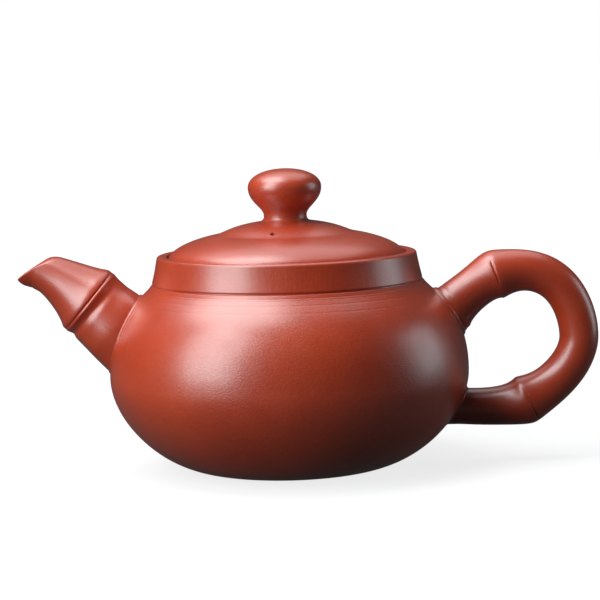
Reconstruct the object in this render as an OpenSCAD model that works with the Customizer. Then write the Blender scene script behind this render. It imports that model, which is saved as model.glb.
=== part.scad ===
// Round red-clay teapot with bamboo-joint spout and handle.
// Origin: centre of the ring that the pot stands on. +Z up, +X to the handle, the spout on -X.
// Every clay piece is a solid of its own, as it is made before it is joined with slip.

/* [Pot body] */
// Diameter of the flat that the pot stands on
base_d = 42.6; // [34:0.2:52]
// Widest diameter of the belly
belly_d = 92.6; // [82:0.2:104]
// Height of the widest place of the belly
belly_z = 24.5; // [20:0.5:29]
// Thickness of the clay walls
wall = 2.8; // [2.2:0.1:3.4]
// Height at which the collar rises from the shoulder
collar_z = 48.2; // [44:0.2:54]
// Height of the collar
collar_h = 7.1; // [6:0.1:9]
// Outer diameter at the foot of the collar
collar_d = 69.8; // [67:0.2:73]
// How much narrower the collar is at the rim than at its foot
collar_taper = 3.0; // [1:0.1:4]
// How far the base is let in, inside the ring that the pot stands on
base_recess = 0.8; // [0.4:0.1:1.2]
// Width of the ring that the pot stands on
base_ring_w = 3.5; // [2:0.1:5]
// Diameter of the line where the shoulder disc is joined to the belly wall
shoulder_d = 86; // [80:0.5:89]

/* [Mouth] */
// Diameter of the recess that the lid lies in
recess_d = 61.8; // [59:0.2:63]
// Depth of the recess below the rim
recess_depth = 2.8; // [2:0.1:4]
// Diameter of the mouth that the lid's flange drops through
mouth_d = 54.2; // [48:0.2:56]

/* [Lid] */
// Gap around the edge of the lid in its recess
lid_gap = 0.5; // [0.3:0.05:0.8]
// Height of the lid above its seat, up to the pad that carries the knob
lid_rise = 11.0; // [9:0.1:13]
// Height of the lid's upright edge
lid_edge = 2.0; // [1:0.1:3]
// Diameter of the low step on the top of the lid
lid_step_d = 37; // [30:0.5:44]
// Rise of the lid's crown above its step
lid_crown = 3.2; // [2.4:0.1:4]
// Thickness of the lid
lid_wall = 2.7; // [2.2:0.1:3.2]
// Depth of the flange below the seat
flange_depth = 6.5; // [4:0.1:7.5]
// Thickness of the flange
flange_wall = 2.2; // [1.6:0.1:3]
// Gap between the flange and the mouth
flange_gap = 0.35; // [0.25:0.05:0.6]
// Diameter of the air hole
air_hole_d = 1.6; // [1.2:0.1:3]
// Distance of the air hole from the lid's centre
air_hole_r = 15.3; // [11:0.1:17]
// Direction of the air hole, seen from above
air_hole_turn = 258; // [0:1:359]

/* [Knob] */
// Widest diameter of the knob
knob_d = 19; // [15:0.2:22]
// Height of the knob above its pad
knob_h = 13.5; // [12:0.1:15]
// Diameter of the knob's neck
knob_neck_d = 11.2; // [9:0.1:12]
// Width of the clay coil pressed round the foot of the knob
knob_coil_w = 1.3; // [0.8:0.1:2]

/* [Spout] */
// Height on the belly at which the spout's centreline leaves it
spout_z = 37.2; // [35:0.2:39]
// Length of the spout from the belly to its mouth, measured level
spout_reach = 21.8; // [19:0.2:25]
// Rise of the spout from the belly to its mouth
spout_rise = 15.6; // [14:0.2:18]
// Diameter of the spout where it meets the belly
spout_root_d = 19.6; // [19:0.1:22]
// Diameter of the spout at its bamboo joint
spout_joint_d = 18.6; // [17:0.1:19]
// Diameter of the spout at its mouth
spout_mouth_d = 8.2; // [7.5:0.1:10]
// Thickness of the clay at the spout's root
spout_wall = 2.4; // [2:0.1:3]
// Thickness of the clay at the spout's lip
spout_lip = 1.5; // [1.2:0.1:2]
// Width of the raised ring at the spout's bamboo joint
spout_ring_w = 1.6; // [1:0.1:2.4]
// How far that ring stands back from the widest place of the bamboo joint
spout_ring_back = 1.9; // [1.2:0.1:2.4]
// How far the rings at the bamboo joints stand out
ring_rise = 0.35; // [0.2:0.05:0.8]
// Angle of the pouring lip below level
lip_cut = 33; // [25:1:45]

/* [Strainer] */
// Thickness of the domed strainer
strainer_wall = 1.5; // [1.2:0.1:2]
// Diameter of the strainer's holes
strainer_hole_d = 1.8; // [1.4:0.1:2.2]

/* [Handle] */
// Height on the belly at which the handle's upper end leaves it
handle_top_z = 39.8; // [37:0.2:41]
// Height on the belly at which the handle's lower end leaves it
handle_foot_z = 14.3; // [13:0.1:17]
// Distance from the belly to the outermost point of the handle's centreline
handle_reach = 28.7; // [25:0.1:33]
// Distance of the handle's upper bamboo joint from the widest place of the belly
upper_joint_out = 7.5; // [5:0.1:9]
// Rise of the handle's upper bamboo joint above its root
upper_joint_rise = 8.4; // [7:0.1:10]
// Distance of the handle's lower bamboo joint from the widest place of the belly
lower_joint_out = 14.7; // [12:0.1:17]
// Rise of the handle's lower bamboo joint above its root
lower_joint_rise = 1.2; // [0.4:0.1:3]
// Thickness of the handle
handle_d = 10.1; // [8:0.1:11]
// Thickness of the handle's bamboo joints
handle_joint_d = 12.8; // [11.6:0.1:14]
// Thickness of the handle's upper end, where it spreads onto the belly
handle_root_d = 13; // [11.4:0.2:15]
// Thickness of the handle's lower end
handle_foot_d = 9.4; // [8:0.1:11]
// Width of the rings at the handle's bamboo joints
handle_ring_w = 2.2; // [1.4:0.1:3]

/* [Seams] */
// Width of the clay slip pressed round the ends of the spout and the handle
seam_w = 1.1; // [0.6:0.1:1.6]

/* [Hidden] */

$fn = 96;
seam_clearance = 0.08;
clay = [0.60, 0.22, 0.13];
clay_light = [0.68, 0.27, 0.16];
clay_dark = [0.50, 0.17, 0.10];

// Shape of the belly's two curves, as shares of the run that each of them covers
base_angle = 3.2;
base_pull = 0.49;
low_swell = 0.46;
high_swell = 0.70;
neck_angle = 65;
neck_pull = 0.157;
curve_steps = 14;

base_r = base_d / 2;
belly_r = belly_d / 2;
collar_r = collar_d / 2;
rim_z = collar_z + collar_h;
rim_r = collar_r - collar_taper / 2;
rim_round = 0.7;
recess_r = recess_d / 2;
mouth_r = mouth_d / 2;
seat_z = rim_z - recess_depth;

lid_r = recess_r - lid_gap;
step_r = lid_step_d / 2;
flange_r = mouth_r - flange_gap;
flange_in_r = flange_r - flange_wall;
pad_z = seat_z + lid_rise;
knob_neck_r = knob_neck_d / 2;
knob_r = knob_d / 2;
pad_r = knob_neck_r + knob_coil_w;

sides = 28;
tube_steps = 12;

// ---- Curves ----

function bezier(p, t) =
    pow(1 - t, 3) * p[0] + 3 * pow(1 - t, 2) * t * p[1] + 3 * (1 - t) * t * t * p[2] + pow(t, 3) * p[3];

function bezier_slope(p, t) =
    3 * pow(1 - t, 2) * (p[1] - p[0]) + 6 * (1 - t) * t * (p[2] - p[1]) + 3 * t * t * (p[3] - p[2]);

function curve(p, steps) = [for (i = [0:steps]) bezier(p, i / steps)];

function toward(angle, length) = length * [cos(angle), sin(angle)];

function reversed(list) = [for (i = [len(list) - 1:-1:0]) list[i]];

function tail(list) = [for (i = [1:len(list) - 1]) list[i]];

// Curve between two places that leaves one and reaches the other at the given angles.
// The pulls say how far each angle is held, as shares of the distance.
function bend(from, leave, pull_from, to, arrive, pull_to) =
    let (distance = norm(to - from))
    [from, from + toward(leave, pull_from * distance), to - toward(arrive, pull_to * distance), to];

// A curve's points moved to its left by the same distance everywhere
function left_of(p, steps, distance) = [
    for (i = [0:steps])
        let (s = bezier_slope(p, i / steps))
        bezier(p, i / steps) + distance * [-s[1], s[0]] / norm(s)
];

low_curve = [
    [base_r, 0],
    [base_r, 0] + toward(base_angle, base_pull * (belly_r - base_r)),
    [belly_r, belly_z * (1 - low_swell)],
    [belly_r, belly_z]
];
high_run = collar_z - belly_z;
high_curve = [
    [belly_r, belly_z],
    [belly_r, belly_z + high_swell * high_run],
    [collar_r, collar_z] + toward(-neck_angle, neck_pull * high_run),
    [collar_r, collar_z]
];

low_outer = curve(low_curve, curve_steps);
low_inner = left_of(low_curve, curve_steps, wall);
high_outer = curve(high_curve, curve_steps);
high_inner = left_of(high_curve, curve_steps, wall);

// Last step of the upper curve that is still as wide as the joint between belly wall and shoulder
shoulder_step = max([for (i = [1:curve_steps - 2]) if (i == 1 || high_outer[i][0] >= shoulder_d / 2) i]);

function part_of(list, from, to) = [for (i = [from:to]) list[i]];

belly_outline = concat(low_outer, tail(high_outer));
belly_radius_at = [for (p = belly_outline) [p[1], p[0]]];

function belly_reach(z) = lookup(z, belly_radius_at);

module turned(outline) {
    rotate_extrude() polygon(outline);
}

// Everything inside the outer surface of the pot
module pot_envelope() {
    turned(concat([[0, 0]], belly_outline, [[0, collar_z]]));
}

// Everything inside the inner surface of the pot
module pot_chamber() {
    turned(concat([[0, wall]], low_inner, part_of(high_inner, 1, curve_steps - 2), [[0, collar_z - wall]]));
}

// ---- Swept clay rolls ----
// A station is [x, z, heading, radius]: a round section that stands across its heading in the XZ plane.

function station_on(p, t, radius) =
    let (c = bezier(p, t), s = bezier_slope(p, t))
    [c[0], c[1], atan2(s[1], s[0]), radius];

function station_moved(s, distance, radius) =
    [s[0] + distance * cos(s[2]), s[1] + distance * sin(s[2]), s[2], radius];

function skin_point(s, turn) = [
    s[0] - s[3] * cos(turn) * sin(s[2]),
    s[3] * sin(turn),
    s[1] + s[3] * cos(turn) * cos(s[2])
];

function section(s) = [for (i = [0:sides - 1]) skin_point(s, 360 * i / sides)];

function mesh_points(stations) = [for (s = stations, p = section(s)) p];

// Triangles between the rings of points that start at the two given indices
function band(a, b) = [
    for (i = [0:sides - 1], k = [0, 1])
        let (n = (i + 1) % sides)
        k == 0 ? [a + i, b + n, b + i] : [a + i, a + n, b + n]
];

module solid_roll(stations) {
    rings = len(stations);
    polyhedron(
        points = mesh_points(stations),
        faces = concat(
            [for (k = [0:rings - 2]) each band(k * sides, (k + 1) * sides)],
            [[for (i = [sides - 1:-1:0]) i]],
            [[for (i = [0:sides - 1]) (rings - 1) * sides + i]]
        )
    );
}

module hollow_roll(outer, inner) {
    rings = len(outer);
    offset_in = rings * sides;
    last = (rings - 1) * sides;
    polyhedron(
        points = concat(mesh_points(outer), mesh_points(inner)),
        faces = concat(
            [for (k = [0:rings - 2]) each band(k * sides, (k + 1) * sides)],
            [for (k = [0:rings - 2]) each band(offset_in + (k + 1) * sides, offset_in + k * sides)],
            band(offset_in, 0),
            band(last, offset_in + last)
        )
    );
}

// A drum turned about the heading of a station, centred on it
module joint_ring(s, width, rise, bore_r) {
    edge_r = s[3];
    ring_steps = 6;
    translate([s[0], 0, s[1]])
        rotate([0, 90 - s[2], 0])
            turned(concat(
                [[bore_r, -width / 2]],
                [for (i = [0:ring_steps])
                    let (a = 180 * i / ring_steps)
                    [edge_r + rise * sin(a), -width / 2 * cos(a)]],
                [[bore_r, width / 2]]
            ));
}

// The lines below follow one side of a roll, from station to station. A place on such a line is a station's
// number, and whole numbers are the stations themselves.

function between(a, b, share) = a + (b - a) * share;

function station_before(stations, place) = min(floor(place), len(stations) - 2);

function line_point(stations, turn, place) =
    let (k = station_before(stations, place))
    between(skin_point(stations[k], turn), skin_point(stations[k + 1], turn), place - k);

function line_outward(stations, turn, place) =
    let (k = station_before(stations, place), s = between(stations[k], stations[k + 1], place - k))
    skin_point([0, 0, s[2], 1], turn);

function is_inside_belly(p) = norm([p[0], p[1]]) < belly_reach(p[2]);

// Place at which a side line leaves the belly, found by halving the interval
function leave_place(stations, turn, low, high, rounds) =
    let (mid = (low + high) / 2)
    rounds == 0 ? mid
        : is_inside_belly(line_point(stations, turn, mid))
            ? leave_place(stations, turn, mid, high, rounds - 1)
            : leave_place(stations, turn, low, mid, rounds - 1);

// Place at which a side line is at a given distance from a point on it, found by halving the interval
function place_at(stations, turn, from, distance, low, high, rounds) =
    let (mid = (low + high) / 2)
    rounds == 0 ? mid
        : norm(line_point(stations, turn, mid) - from) < distance
            ? place_at(stations, turn, from, distance, mid, high, rounds - 1)
            : place_at(stations, turn, from, distance, low, mid, rounds - 1);

function on_belly(p) =
    let (k = (belly_reach(p[2]) + seam_clearance) / norm([p[0], p[1]]))
    [p[0] * k, p[1] * k, p[2]];

// Thin roll of slip in the corner between the belly and a roll whose first station is inside the belly
module corner_seam(stations, width) {
    halvings = 24;
    reach = len(stations) - 1;
    turns = [for (i = [0:sides - 1]) 360 * i / sides];
    roots = [for (turn = turns) leave_place(stations, turn, 0, reach, halvings)];
    foot = [for (i = [0:sides - 1])
        let (p = line_point(stations, turns[i], roots[i]))
        on_belly(p + seam_clearance * line_outward(stations, turns[i], roots[i]))];
    on_wall = [for (i = [0:sides - 1])
        let (p = line_point(stations, turns[i], roots[i]))
        on_belly(p + width * line_outward(stations, turns[i], roots[i]))];
    up_roll = [for (i = [0:sides - 1])
        let (
            p = line_point(stations, turns[i], roots[i]),
            place = place_at(stations, turns[i], p, width, roots[i], reach, halvings)
        )
        line_point(stations, turns[i], place)
            + seam_clearance * line_outward(stations, turns[i], place)];
    polyhedron(
        points = concat(foot, up_roll, on_wall),
        faces = concat(band(sides, 0), band(2 * sides, sides), band(0, 2 * sides))
    );
}

// ---- Spout ----

spout_leave_angle = 133;
spout_arrive_angle = 180;
spout_pull = 0.21;
spout_start = [-belly_reach(spout_z), spout_z];
spout_end = spout_start + [-spout_reach, spout_rise];
spout_line = bend(spout_start, spout_leave_angle, spout_pull, spout_end, spout_arrive_angle, spout_pull);
spout_joint_t = 0.42;
spout_into_wall = 8;
spout_past_lip = 4.2;
// How quickly the spout narrows past its bamboo joint
spout_fall_ratio = 2.8;

function spout_r(t) = t < spout_joint_t
    ? (spout_root_d + (spout_joint_d - spout_root_d) * t / spout_joint_t) / 2
    : spout_mouth_d / 2
        + (spout_joint_d - spout_mouth_d) / 2
        * (exp(-spout_fall_ratio * (t - spout_joint_t)) - exp(-spout_fall_ratio * (1 - spout_joint_t)))
        / (1 - exp(-spout_fall_ratio * (1 - spout_joint_t)));

function spout_wall_at(t) = spout_wall + (spout_lip - spout_wall) * t;

spout_joint = station_on(spout_line, spout_joint_t, spout_r(spout_joint_t));
spout_bore_at_joint = spout_joint[3] - spout_wall_at(spout_joint_t);
spout_ring_at = station_moved(spout_joint, -spout_ring_back, spout_joint[3]);
spout_bore_at_root = spout_root_d / 2 - spout_wall;

spout_first = station_on(spout_line, 0, spout_root_d / 2);

function thinner(stations, walls) = [
    for (i = [0:len(stations) - 1])
        let (s = stations[i])
        [s[0], s[1], s[2], s[3] - walls[i]]
];

spout_root_steps = 5;
spout_root_free = 0.65 * spout_joint_t;
spout_root_times = [for (i = [0:spout_root_steps - 1]) spout_root_free * i / (spout_root_steps - 1)];
spout_root_stations = concat(
    [station_moved(spout_first, -spout_into_wall, spout_root_d / 2)],
    [for (t = spout_root_times) station_on(spout_line, t, spout_r(t))],
    [station_moved(spout_ring_at, -spout_ring_w / 2, spout_joint[3])]
);

module spout_root() {
    walls = concat(
        [spout_wall],
        [for (t = spout_root_times) spout_wall_at(t)],
        [spout_wall_at(spout_joint_t)]
    );
    color(clay) difference() {
        hollow_roll(spout_root_stations, thinner(spout_root_stations, walls));
        pot_envelope();
    }
}

module spout_joint_ring() {
    color(clay_light) joint_ring(spout_ring_at, spout_ring_w, ring_rise, spout_bore_at_joint);
}

// Half-space beyond the slanting pouring lip
module beyond_lip() {
    size = 40;
    translate([spout_end[0], 0, spout_end[1]])
        rotate([0, -lip_cut, 0])
            translate([-size / 2, -size / 2, 0])
                cube(size);
}

module spout_tip() {
    steps = 8;
    span = 1 - spout_joint_t;
    times = [for (i = [0:steps]) spout_joint_t + span * i / steps];
    outer = concat(
        [station_moved(spout_ring_at, spout_ring_w / 2, spout_joint[3])],
        [for (t = times) station_on(spout_line, t, spout_r(t))],
        [station_moved(station_on(spout_line, 1, spout_mouth_d / 2), spout_past_lip, spout_mouth_d / 2)]
    );
    walls = concat([spout_wall_at(spout_joint_t)], [for (t = times) spout_wall_at(t)], [spout_lip]);
    color(clay) difference() {
        hollow_roll(outer, thinner(outer, walls));
        beyond_lip();
    }
}

module spout_seam() {
    color(clay_light) corner_seam(spout_root_stations, seam_w);
}

// ---- Handle ----

handle_into_wall = 8;
handle_top = [belly_reach(handle_top_z), handle_top_z];
handle_foot = [belly_reach(handle_foot_z), handle_foot_z];
upper_joint_at = [belly_r + upper_joint_out, handle_top_z + upper_joint_rise];
lower_joint_at = [belly_r + lower_joint_out, handle_foot_z + lower_joint_rise];
handle_peak = [belly_r + handle_reach, (upper_joint_at[1] + lower_joint_at[1]) / 2];

// Headings of the handle's centreline at its ends, its bamboo joints and its outermost point
top_heading = 48;
upper_joint_heading = 16;
peak_heading = -90;
lower_joint_heading = -157;
foot_heading = -180;

upper_line = bend(handle_top, top_heading, 0.16, upper_joint_at, upper_joint_heading, 0.26);
bow_top_line = bend(upper_joint_at, upper_joint_heading, 0.60, handle_peak, peak_heading, 0.31);
bow_foot_line = bend(handle_peak, peak_heading, 0.24, lower_joint_at, lower_joint_heading, 0.47);
lower_line = bend(lower_joint_at, lower_joint_heading, 0.35, handle_foot, foot_heading, 0.17);

upper_joint = station_on(upper_line, 1, handle_joint_d / 2 - ring_rise);
lower_joint = station_on(bow_foot_line, 1, handle_joint_d / 2 - ring_rise);
// Distance over which a bamboo joint swells out of the roll
swell_run = 3.8;

// Radius of the handle at a given distance from a bamboo joint
function handle_r(distance, base_r, joint) =
    base_r + (joint[3] - base_r) * exp(-distance / swell_run);

function away(p, t, joint) = norm(bezier(p, t) - [joint[0], joint[1]]) - handle_ring_w / 2;

upper_section_steps = 7;
upper_section_r = handle_d / 2 - 0.1;

function upper_station(t) =
    let (
        spread = (handle_root_d / 2 - upper_section_r) * pow(1 - t, 2),
        distance = away(upper_line, t, upper_joint)
    )
    station_on(upper_line, t, spread + handle_r(distance, upper_section_r, upper_joint));

upper_section_stations = concat(
    [station_moved(upper_station(0), -handle_into_wall, handle_root_d / 2 + 1)],
    [for (i = [0:upper_section_steps - 1]) upper_station(i / upper_section_steps)],
    [station_moved(upper_joint, -handle_ring_w / 2, upper_joint[3])]
);

module handle_upper_section() {
    color(clay) difference() {
        solid_roll(upper_section_stations);
        pot_envelope();
    }
}

module handle_upper_joint() {
    color(clay_light) joint_ring(upper_joint, handle_ring_w, ring_rise, 0);
}

function bow_station(line, t, joint) =
    station_on(line, t, handle_r(away(line, t, joint), handle_d / 2, joint));

module handle_bow() {
    shift = handle_ring_w / 2;
    top = [for (i = [1:tube_steps])
        let (t = i / tube_steps)
        bow_station(bow_top_line, t, upper_joint)];
    foot = [for (i = [1:tube_steps - 1])
        let (t = i / tube_steps)
        bow_station(bow_foot_line, t, lower_joint)];
    stations = concat(
        [station_moved(upper_joint, shift, upper_joint[3])],
        top,
        foot,
        [station_moved(lower_joint, -shift, lower_joint[3])]
    );
    color(clay) solid_roll(stations);
}

module handle_lower_joint() {
    color(clay_light) joint_ring(lower_joint, handle_ring_w, ring_rise, 0);
}

lower_section_steps = 8;

function lower_station(t) =
    let (distance = away(lower_line, t, lower_joint))
    station_on(lower_line, t, handle_r(distance, handle_foot_d / 2, lower_joint));

lower_section_stations = concat(
    [station_moved(lower_joint, handle_ring_w / 2, lower_joint[3])],
    [for (i = [1:lower_section_steps]) lower_station(i / lower_section_steps)],
    [station_moved(lower_station(1), handle_into_wall, handle_foot_d / 2)]
);

module handle_lower_section() {
    color(clay) difference() {
        solid_roll(lower_section_stations);
        pot_envelope();
    }
}

module handle_upper_seam() {
    color(clay_light) corner_seam(upper_section_stations, seam_w);
}

module handle_lower_seam() {
    turned_round = [for (s = reversed(lower_section_stations)) [s[0], s[1], s[2] + 180, s[3]]];
    color(clay_light) corner_seam(turned_round, seam_w);
}

// ---- Pot ----

module base_disc() {
    ring_in = base_r - base_ring_w;
    color(clay_dark) turned([
        [0, base_recess],
        [ring_in - base_recess, base_recess],
        [ring_in, 0],
        [base_r, 0],
        [base_r, wall],
        [0, wall]
    ]);
}

module belly_wall() {
    outer = concat(low_outer, part_of(high_outer, 1, shoulder_step));
    inner = concat(
        [[base_r, wall]],
        tail(low_inner),
        part_of(high_inner, 1, shoulder_step)
    );
    color(clay) difference() {
        turned(concat(outer, reversed(inner)));
        spout_channel();
    }
}

// Way through the wall behind the spout
module spout_channel() {
    length = 24;
    translate([spout_first[0], 0, spout_first[1]])
        rotate([0, 90 - spout_first[2], 0])
            cylinder(h = length, r = spout_bore_at_root, center = true);
}

module shoulder_disc() {
    under_r = high_inner[curve_steps][0];
    color(clay) turned(concat(
        part_of(high_outer, shoulder_step, curve_steps),
        [[mouth_r, collar_z], [mouth_r, collar_z - wall]],
        [[under_r, collar_z - wall]],
        reversed(part_of(high_inner, shoulder_step, curve_steps - 3))
    ));
}

module collar_ring() {
    round_steps = 5;
    inner_round = 0.3;
    color(clay) turned(concat(
        [[recess_r, collar_z], [collar_r, collar_z]],
        [for (i = [0:round_steps])
            let (a = 90 * i / round_steps)
            [rim_r - rim_round + rim_round * cos(a), rim_z - rim_round + rim_round * sin(a)]],
        [[recess_r + inner_round, rim_z], [recess_r, rim_z - inner_round]]
    ));
}

module lid_seat_ring() {
    color(clay_light) turned([
        [mouth_r, collar_z],
        [recess_r, collar_z],
        [recess_r, seat_z],
        [mouth_r, seat_z]
    ]);
}

module spout_strainer() {
    dome_r = spout_bore_at_root + strainer_wall;
    cavity_r = spout_bore_at_root;
    centre_depth = wall;
    skirt = 8;
    dome_steps = 9;
    ring_counts = [1, 6, 11];
    ring_tilt = 27;
    color(clay_dark) intersection() {
        translate([spout_first[0], 0, spout_first[1]])
            rotate([0, -90 - spout_first[2], 0])
                translate([0, 0, centre_depth])
                    difference() {
                        turned(concat(
                            [[cavity_r, -skirt], [dome_r, -skirt]],
                            [for (i = [0:dome_steps]) toward(90 * i / dome_steps, dome_r)],
                            [for (i = [dome_steps:-1:0]) toward(90 * i / dome_steps, cavity_r)]
                        ));
                        for (k = [0:len(ring_counts) - 1], i = [0:ring_counts[k] - 1])
                            rotate([0, 0, 360 * i / ring_counts[k]])
                                rotate([0, ring_tilt * k, 0])
                                    cylinder(h = dome_r * 2, d = strainer_hole_d);
                    }
        pot_chamber();
    }
}

// ---- Lid ----

lid_edge_round = 0.4;
lid_edge_z = seat_z + lid_edge;
lid_step_z = pad_z - lid_crown;
lid_shoulder_run = [step_r - lid_r, lid_step_z - lid_edge_z];
lid_crown_run = [pad_r - step_r, lid_crown];
lid_under_top_z = pad_z - lid_wall;
lid_under_edge_z = lid_step_z - lid_wall - lid_shoulder_run[1] / 3;

// Curve between two places, bent by shares of the run that it covers
function eased(from, run, near, far) = [
    from,
    from + [run[0] * near[0], run[1] * near[1]],
    from + [run[0] * far[0], run[1] * far[1]],
    from + run
];

lid_shoulder_curve = eased([lid_r, lid_edge_z], lid_shoulder_run, [0, 0.31], [0.37, 0.76]);
lid_crown_curve = eased([step_r, lid_step_z], lid_crown_run, [0.18, 0.09], [0.34, 0.69]);
lid_under_curve = eased(
    [flange_in_r, lid_under_edge_z],
    [-flange_in_r, lid_under_top_z - lid_under_edge_z],
    [0.19, 0.42],
    [0.5, 0.97]
);

module lid_plate() {
    top_steps = 12;
    color(clay) difference() {
        turned(concat(
            [[flange_in_r, seat_z], [lid_r - lid_edge_round, seat_z], [lid_r, seat_z + lid_edge_round]],
            curve(lid_shoulder_curve, top_steps),
            tail(curve(lid_crown_curve, top_steps)),
            [[0, pad_z]],
            reversed(curve(lid_under_curve, top_steps))
        ));
        rotate([0, 0, air_hole_turn])
            translate([air_hole_r, 0, seat_z])
                cylinder(h = lid_rise * 2, d = air_hole_d);
    }
}
module lid_flange() {
    chamfer = 0.5;
    color(clay_light) turned([
        [flange_in_r, seat_z - flange_depth],
        [flange_r - chamfer, seat_z - flange_depth],
        [flange_r, seat_z - flange_depth + chamfer],
        [flange_r, seat_z],
        [flange_in_r, seat_z]
    ]);
}

module lid_knob() {
    neck_z = pad_z + 0.12 * knob_h;
    wide_z = pad_z + 0.645 * knob_h;
    top_z = pad_z + knob_h;
    steps = 12;
    cup_curve = eased([knob_neck_r, neck_z], [knob_r - knob_neck_r, wide_z - neck_z], [0, 0.27], [1, 0.48]);
    dome_curve = eased([knob_r, wide_z], [-knob_r, top_z - wide_z], [0, 0.6], [0.42, 1]);
    color(clay) turned(concat(
        [[0, pad_z], [knob_neck_r, pad_z]],
        curve(cup_curve, steps),
        tail(curve(dome_curve, steps))
    ));
}

module knob_foot_coil() {
    steps = 6;
    color(clay_light) turned(concat(
        [[knob_neck_r, pad_z]],
        [for (i = [0:steps])
            let (a = 90 * i / steps)
            [pad_r - knob_coil_w * sin(a), pad_z + knob_coil_w * (1 - cos(a)) + 0.1]]
    ));
}

base_disc();
belly_wall();
shoulder_disc();
collar_ring();
lid_seat_ring();
spout_strainer();
spout_root();
spout_joint_ring();
spout_tip();
spout_seam();
handle_upper_section();
handle_upper_joint();
handle_bow();
handle_lower_joint();
handle_lower_section();
handle_upper_seam();
handle_lower_seam();
lid_plate();
lid_flange();
lid_knob();
knob_foot_coil();
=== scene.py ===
"""Visible clay of a round teapot with a bamboo-joint spout and handle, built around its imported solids."""

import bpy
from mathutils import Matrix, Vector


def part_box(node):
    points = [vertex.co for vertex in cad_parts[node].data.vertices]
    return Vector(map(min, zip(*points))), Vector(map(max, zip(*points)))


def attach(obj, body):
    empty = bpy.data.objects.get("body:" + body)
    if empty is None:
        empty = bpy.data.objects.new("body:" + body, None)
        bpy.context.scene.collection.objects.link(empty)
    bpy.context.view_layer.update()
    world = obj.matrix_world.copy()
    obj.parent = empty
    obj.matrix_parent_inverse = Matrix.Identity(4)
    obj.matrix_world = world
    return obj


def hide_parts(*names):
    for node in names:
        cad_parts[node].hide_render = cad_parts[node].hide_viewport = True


bl_info = {
    "name": "Bamboo-joint clay teapot",
    "version": (1, 0, 0),
    "blender": (4, 5, 0),
    "location": "3D View > Sidebar > Teapot",
    "description": "Builds the burnished clay pieces of a small round teapot and a studio to show them in",
    "category": "Add Mesh",
}

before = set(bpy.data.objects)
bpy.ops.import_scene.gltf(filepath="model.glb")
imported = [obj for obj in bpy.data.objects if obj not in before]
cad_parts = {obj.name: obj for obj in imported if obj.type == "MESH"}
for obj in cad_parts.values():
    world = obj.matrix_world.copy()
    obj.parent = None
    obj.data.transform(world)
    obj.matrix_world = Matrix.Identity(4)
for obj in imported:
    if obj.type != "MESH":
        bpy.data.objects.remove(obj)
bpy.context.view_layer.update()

import math

import bmesh
import bpy
import numpy as np
from bpy.props import FloatProperty, FloatVectorProperty, IntProperty, PointerProperty
from mathutils import Matrix, Vector, noise

MM = 0.001
ON_AXIS = 1e-7
SHARP_ANGLE = math.radians(38)
OFF_GRID = math.radians(1.1)  # turn that keeps a drill's corners off the edges of what it cuts
HALVINGS = 24  # of an interval of a few centimetres, which leaves a few millionths of a millimetre


def node_low(name, axis):
    """Lowest coordinate of a solid along X (0), Y (1) or Z (2)."""
    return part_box(name)[0][axis]


def node_high(name, axis):
    """Highest coordinate of a solid along X (0), Y (1) or Z (2)."""
    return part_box(name)[1][axis]


BELLY_R = node_high("belly_wall", 0)
BASE_R = node_high("base_disc", 0)
WALL = node_high("base_disc", 2)
SPLIT_Z = node_high("belly_wall", 2)
COLLAR_R = node_high("collar_ring", 0)
COLLAR_Z = node_low("collar_ring", 2)
RIM_Z = node_high("collar_ring", 2)
RECESS_R = node_high("lid_seat_ring", 0)
SEAT_Z = node_high("lid_seat_ring", 2)
LID_R = node_high("lid_plate", 0)
PAD_Z = node_high("lid_plate", 2)
FLANGE_R = node_high("lid_flange", 0)
FLANGE_Z = node_low("lid_flange", 2)
KNOB_R = node_high("lid_knob", 0)
KNOB_TOP = node_high("lid_knob", 2)
PAD_R = node_high("knob_foot_coil", 0)
COIL_TOP = node_high("knob_foot_coil", 2)


# ---- Sizes that a user would change ----


def length(name, value, description):
    """A length in metres, given here in millimetres."""
    return FloatProperty(name=name, description=description, default=value * MM, unit="LENGTH", subtype="DISTANCE",
                         precision=5)


def share(name, value, description):
    """A plain number, such as a share of a distance."""
    return FloatProperty(name=name, description=description, default=value, precision=3)


def turn(name, degrees, description):
    """An angle, given here in degrees."""
    return FloatProperty(name=name, description=description, default=math.radians(degrees), subtype="ANGLE")


def colour(name, hex_code, description):
    """A colour, given here as an sRGB hex code and kept as linear light."""
    return FloatVectorProperty(name=name, description=description, default=linear(hex_code)[:3], size=3,
                               min=0, max=1, subtype="COLOR")


def linear(hex_code):
    """Linear red, green, blue and alpha of an sRGB hex code."""
    parts = [int(hex_code[i:i + 2], 16) / 255 for i in (0, 2, 4)]
    return tuple(c / 12.92 if c <= 0.04045 else ((c + 0.055) / 1.055) ** 2.4 for c in parts) + (1.0,)


class TeapotPot(bpy.types.PropertyGroup):
    """Shape of the pot's round body."""

    belly_z: length("Widest height", 24.5, "Height of the widest place of the belly")
    base_lean: turn("Base lean", 3.2, "Angle at which the belly leaves the standing ring")
    base_pull: share("Base pull", 0.49, "How long the belly keeps the base's angle")
    low_swell: share("Low swell", 0.46, "How long the lower belly stays upright below its widest place")
    high_swell: share("High swell", 0.70, "How long the upper belly stays upright above its widest place")
    neck_lean: turn("Neck lean", 65, "Angle at which the shoulder reaches the collar")
    neck_pull: share("Neck pull", 0.157, "How long the shoulder keeps the collar's angle")
    base_recess: length("Base recess", 0.8, "Depth of the base inside its standing ring")
    base_ring_w: length("Standing ring", 3.5, "Width of the ring that the pot stands on")
    mouth_r: length("Mouth radius", 27.1, "Radius of the mouth under the lid")
    rim_r: length("Rim radius", 33.4, "Outer radius of the collar at the rim")
    rim_round: length("Rim rounding", 0.7, "Radius of the rim's outer edge")
    crease: length("Crease", 0.36, "Depth of the line tooled at the foot of the collar")
    segments: IntProperty(name="Segments", description="Faces round a turned piece", default=256, min=24, max=512)


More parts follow.
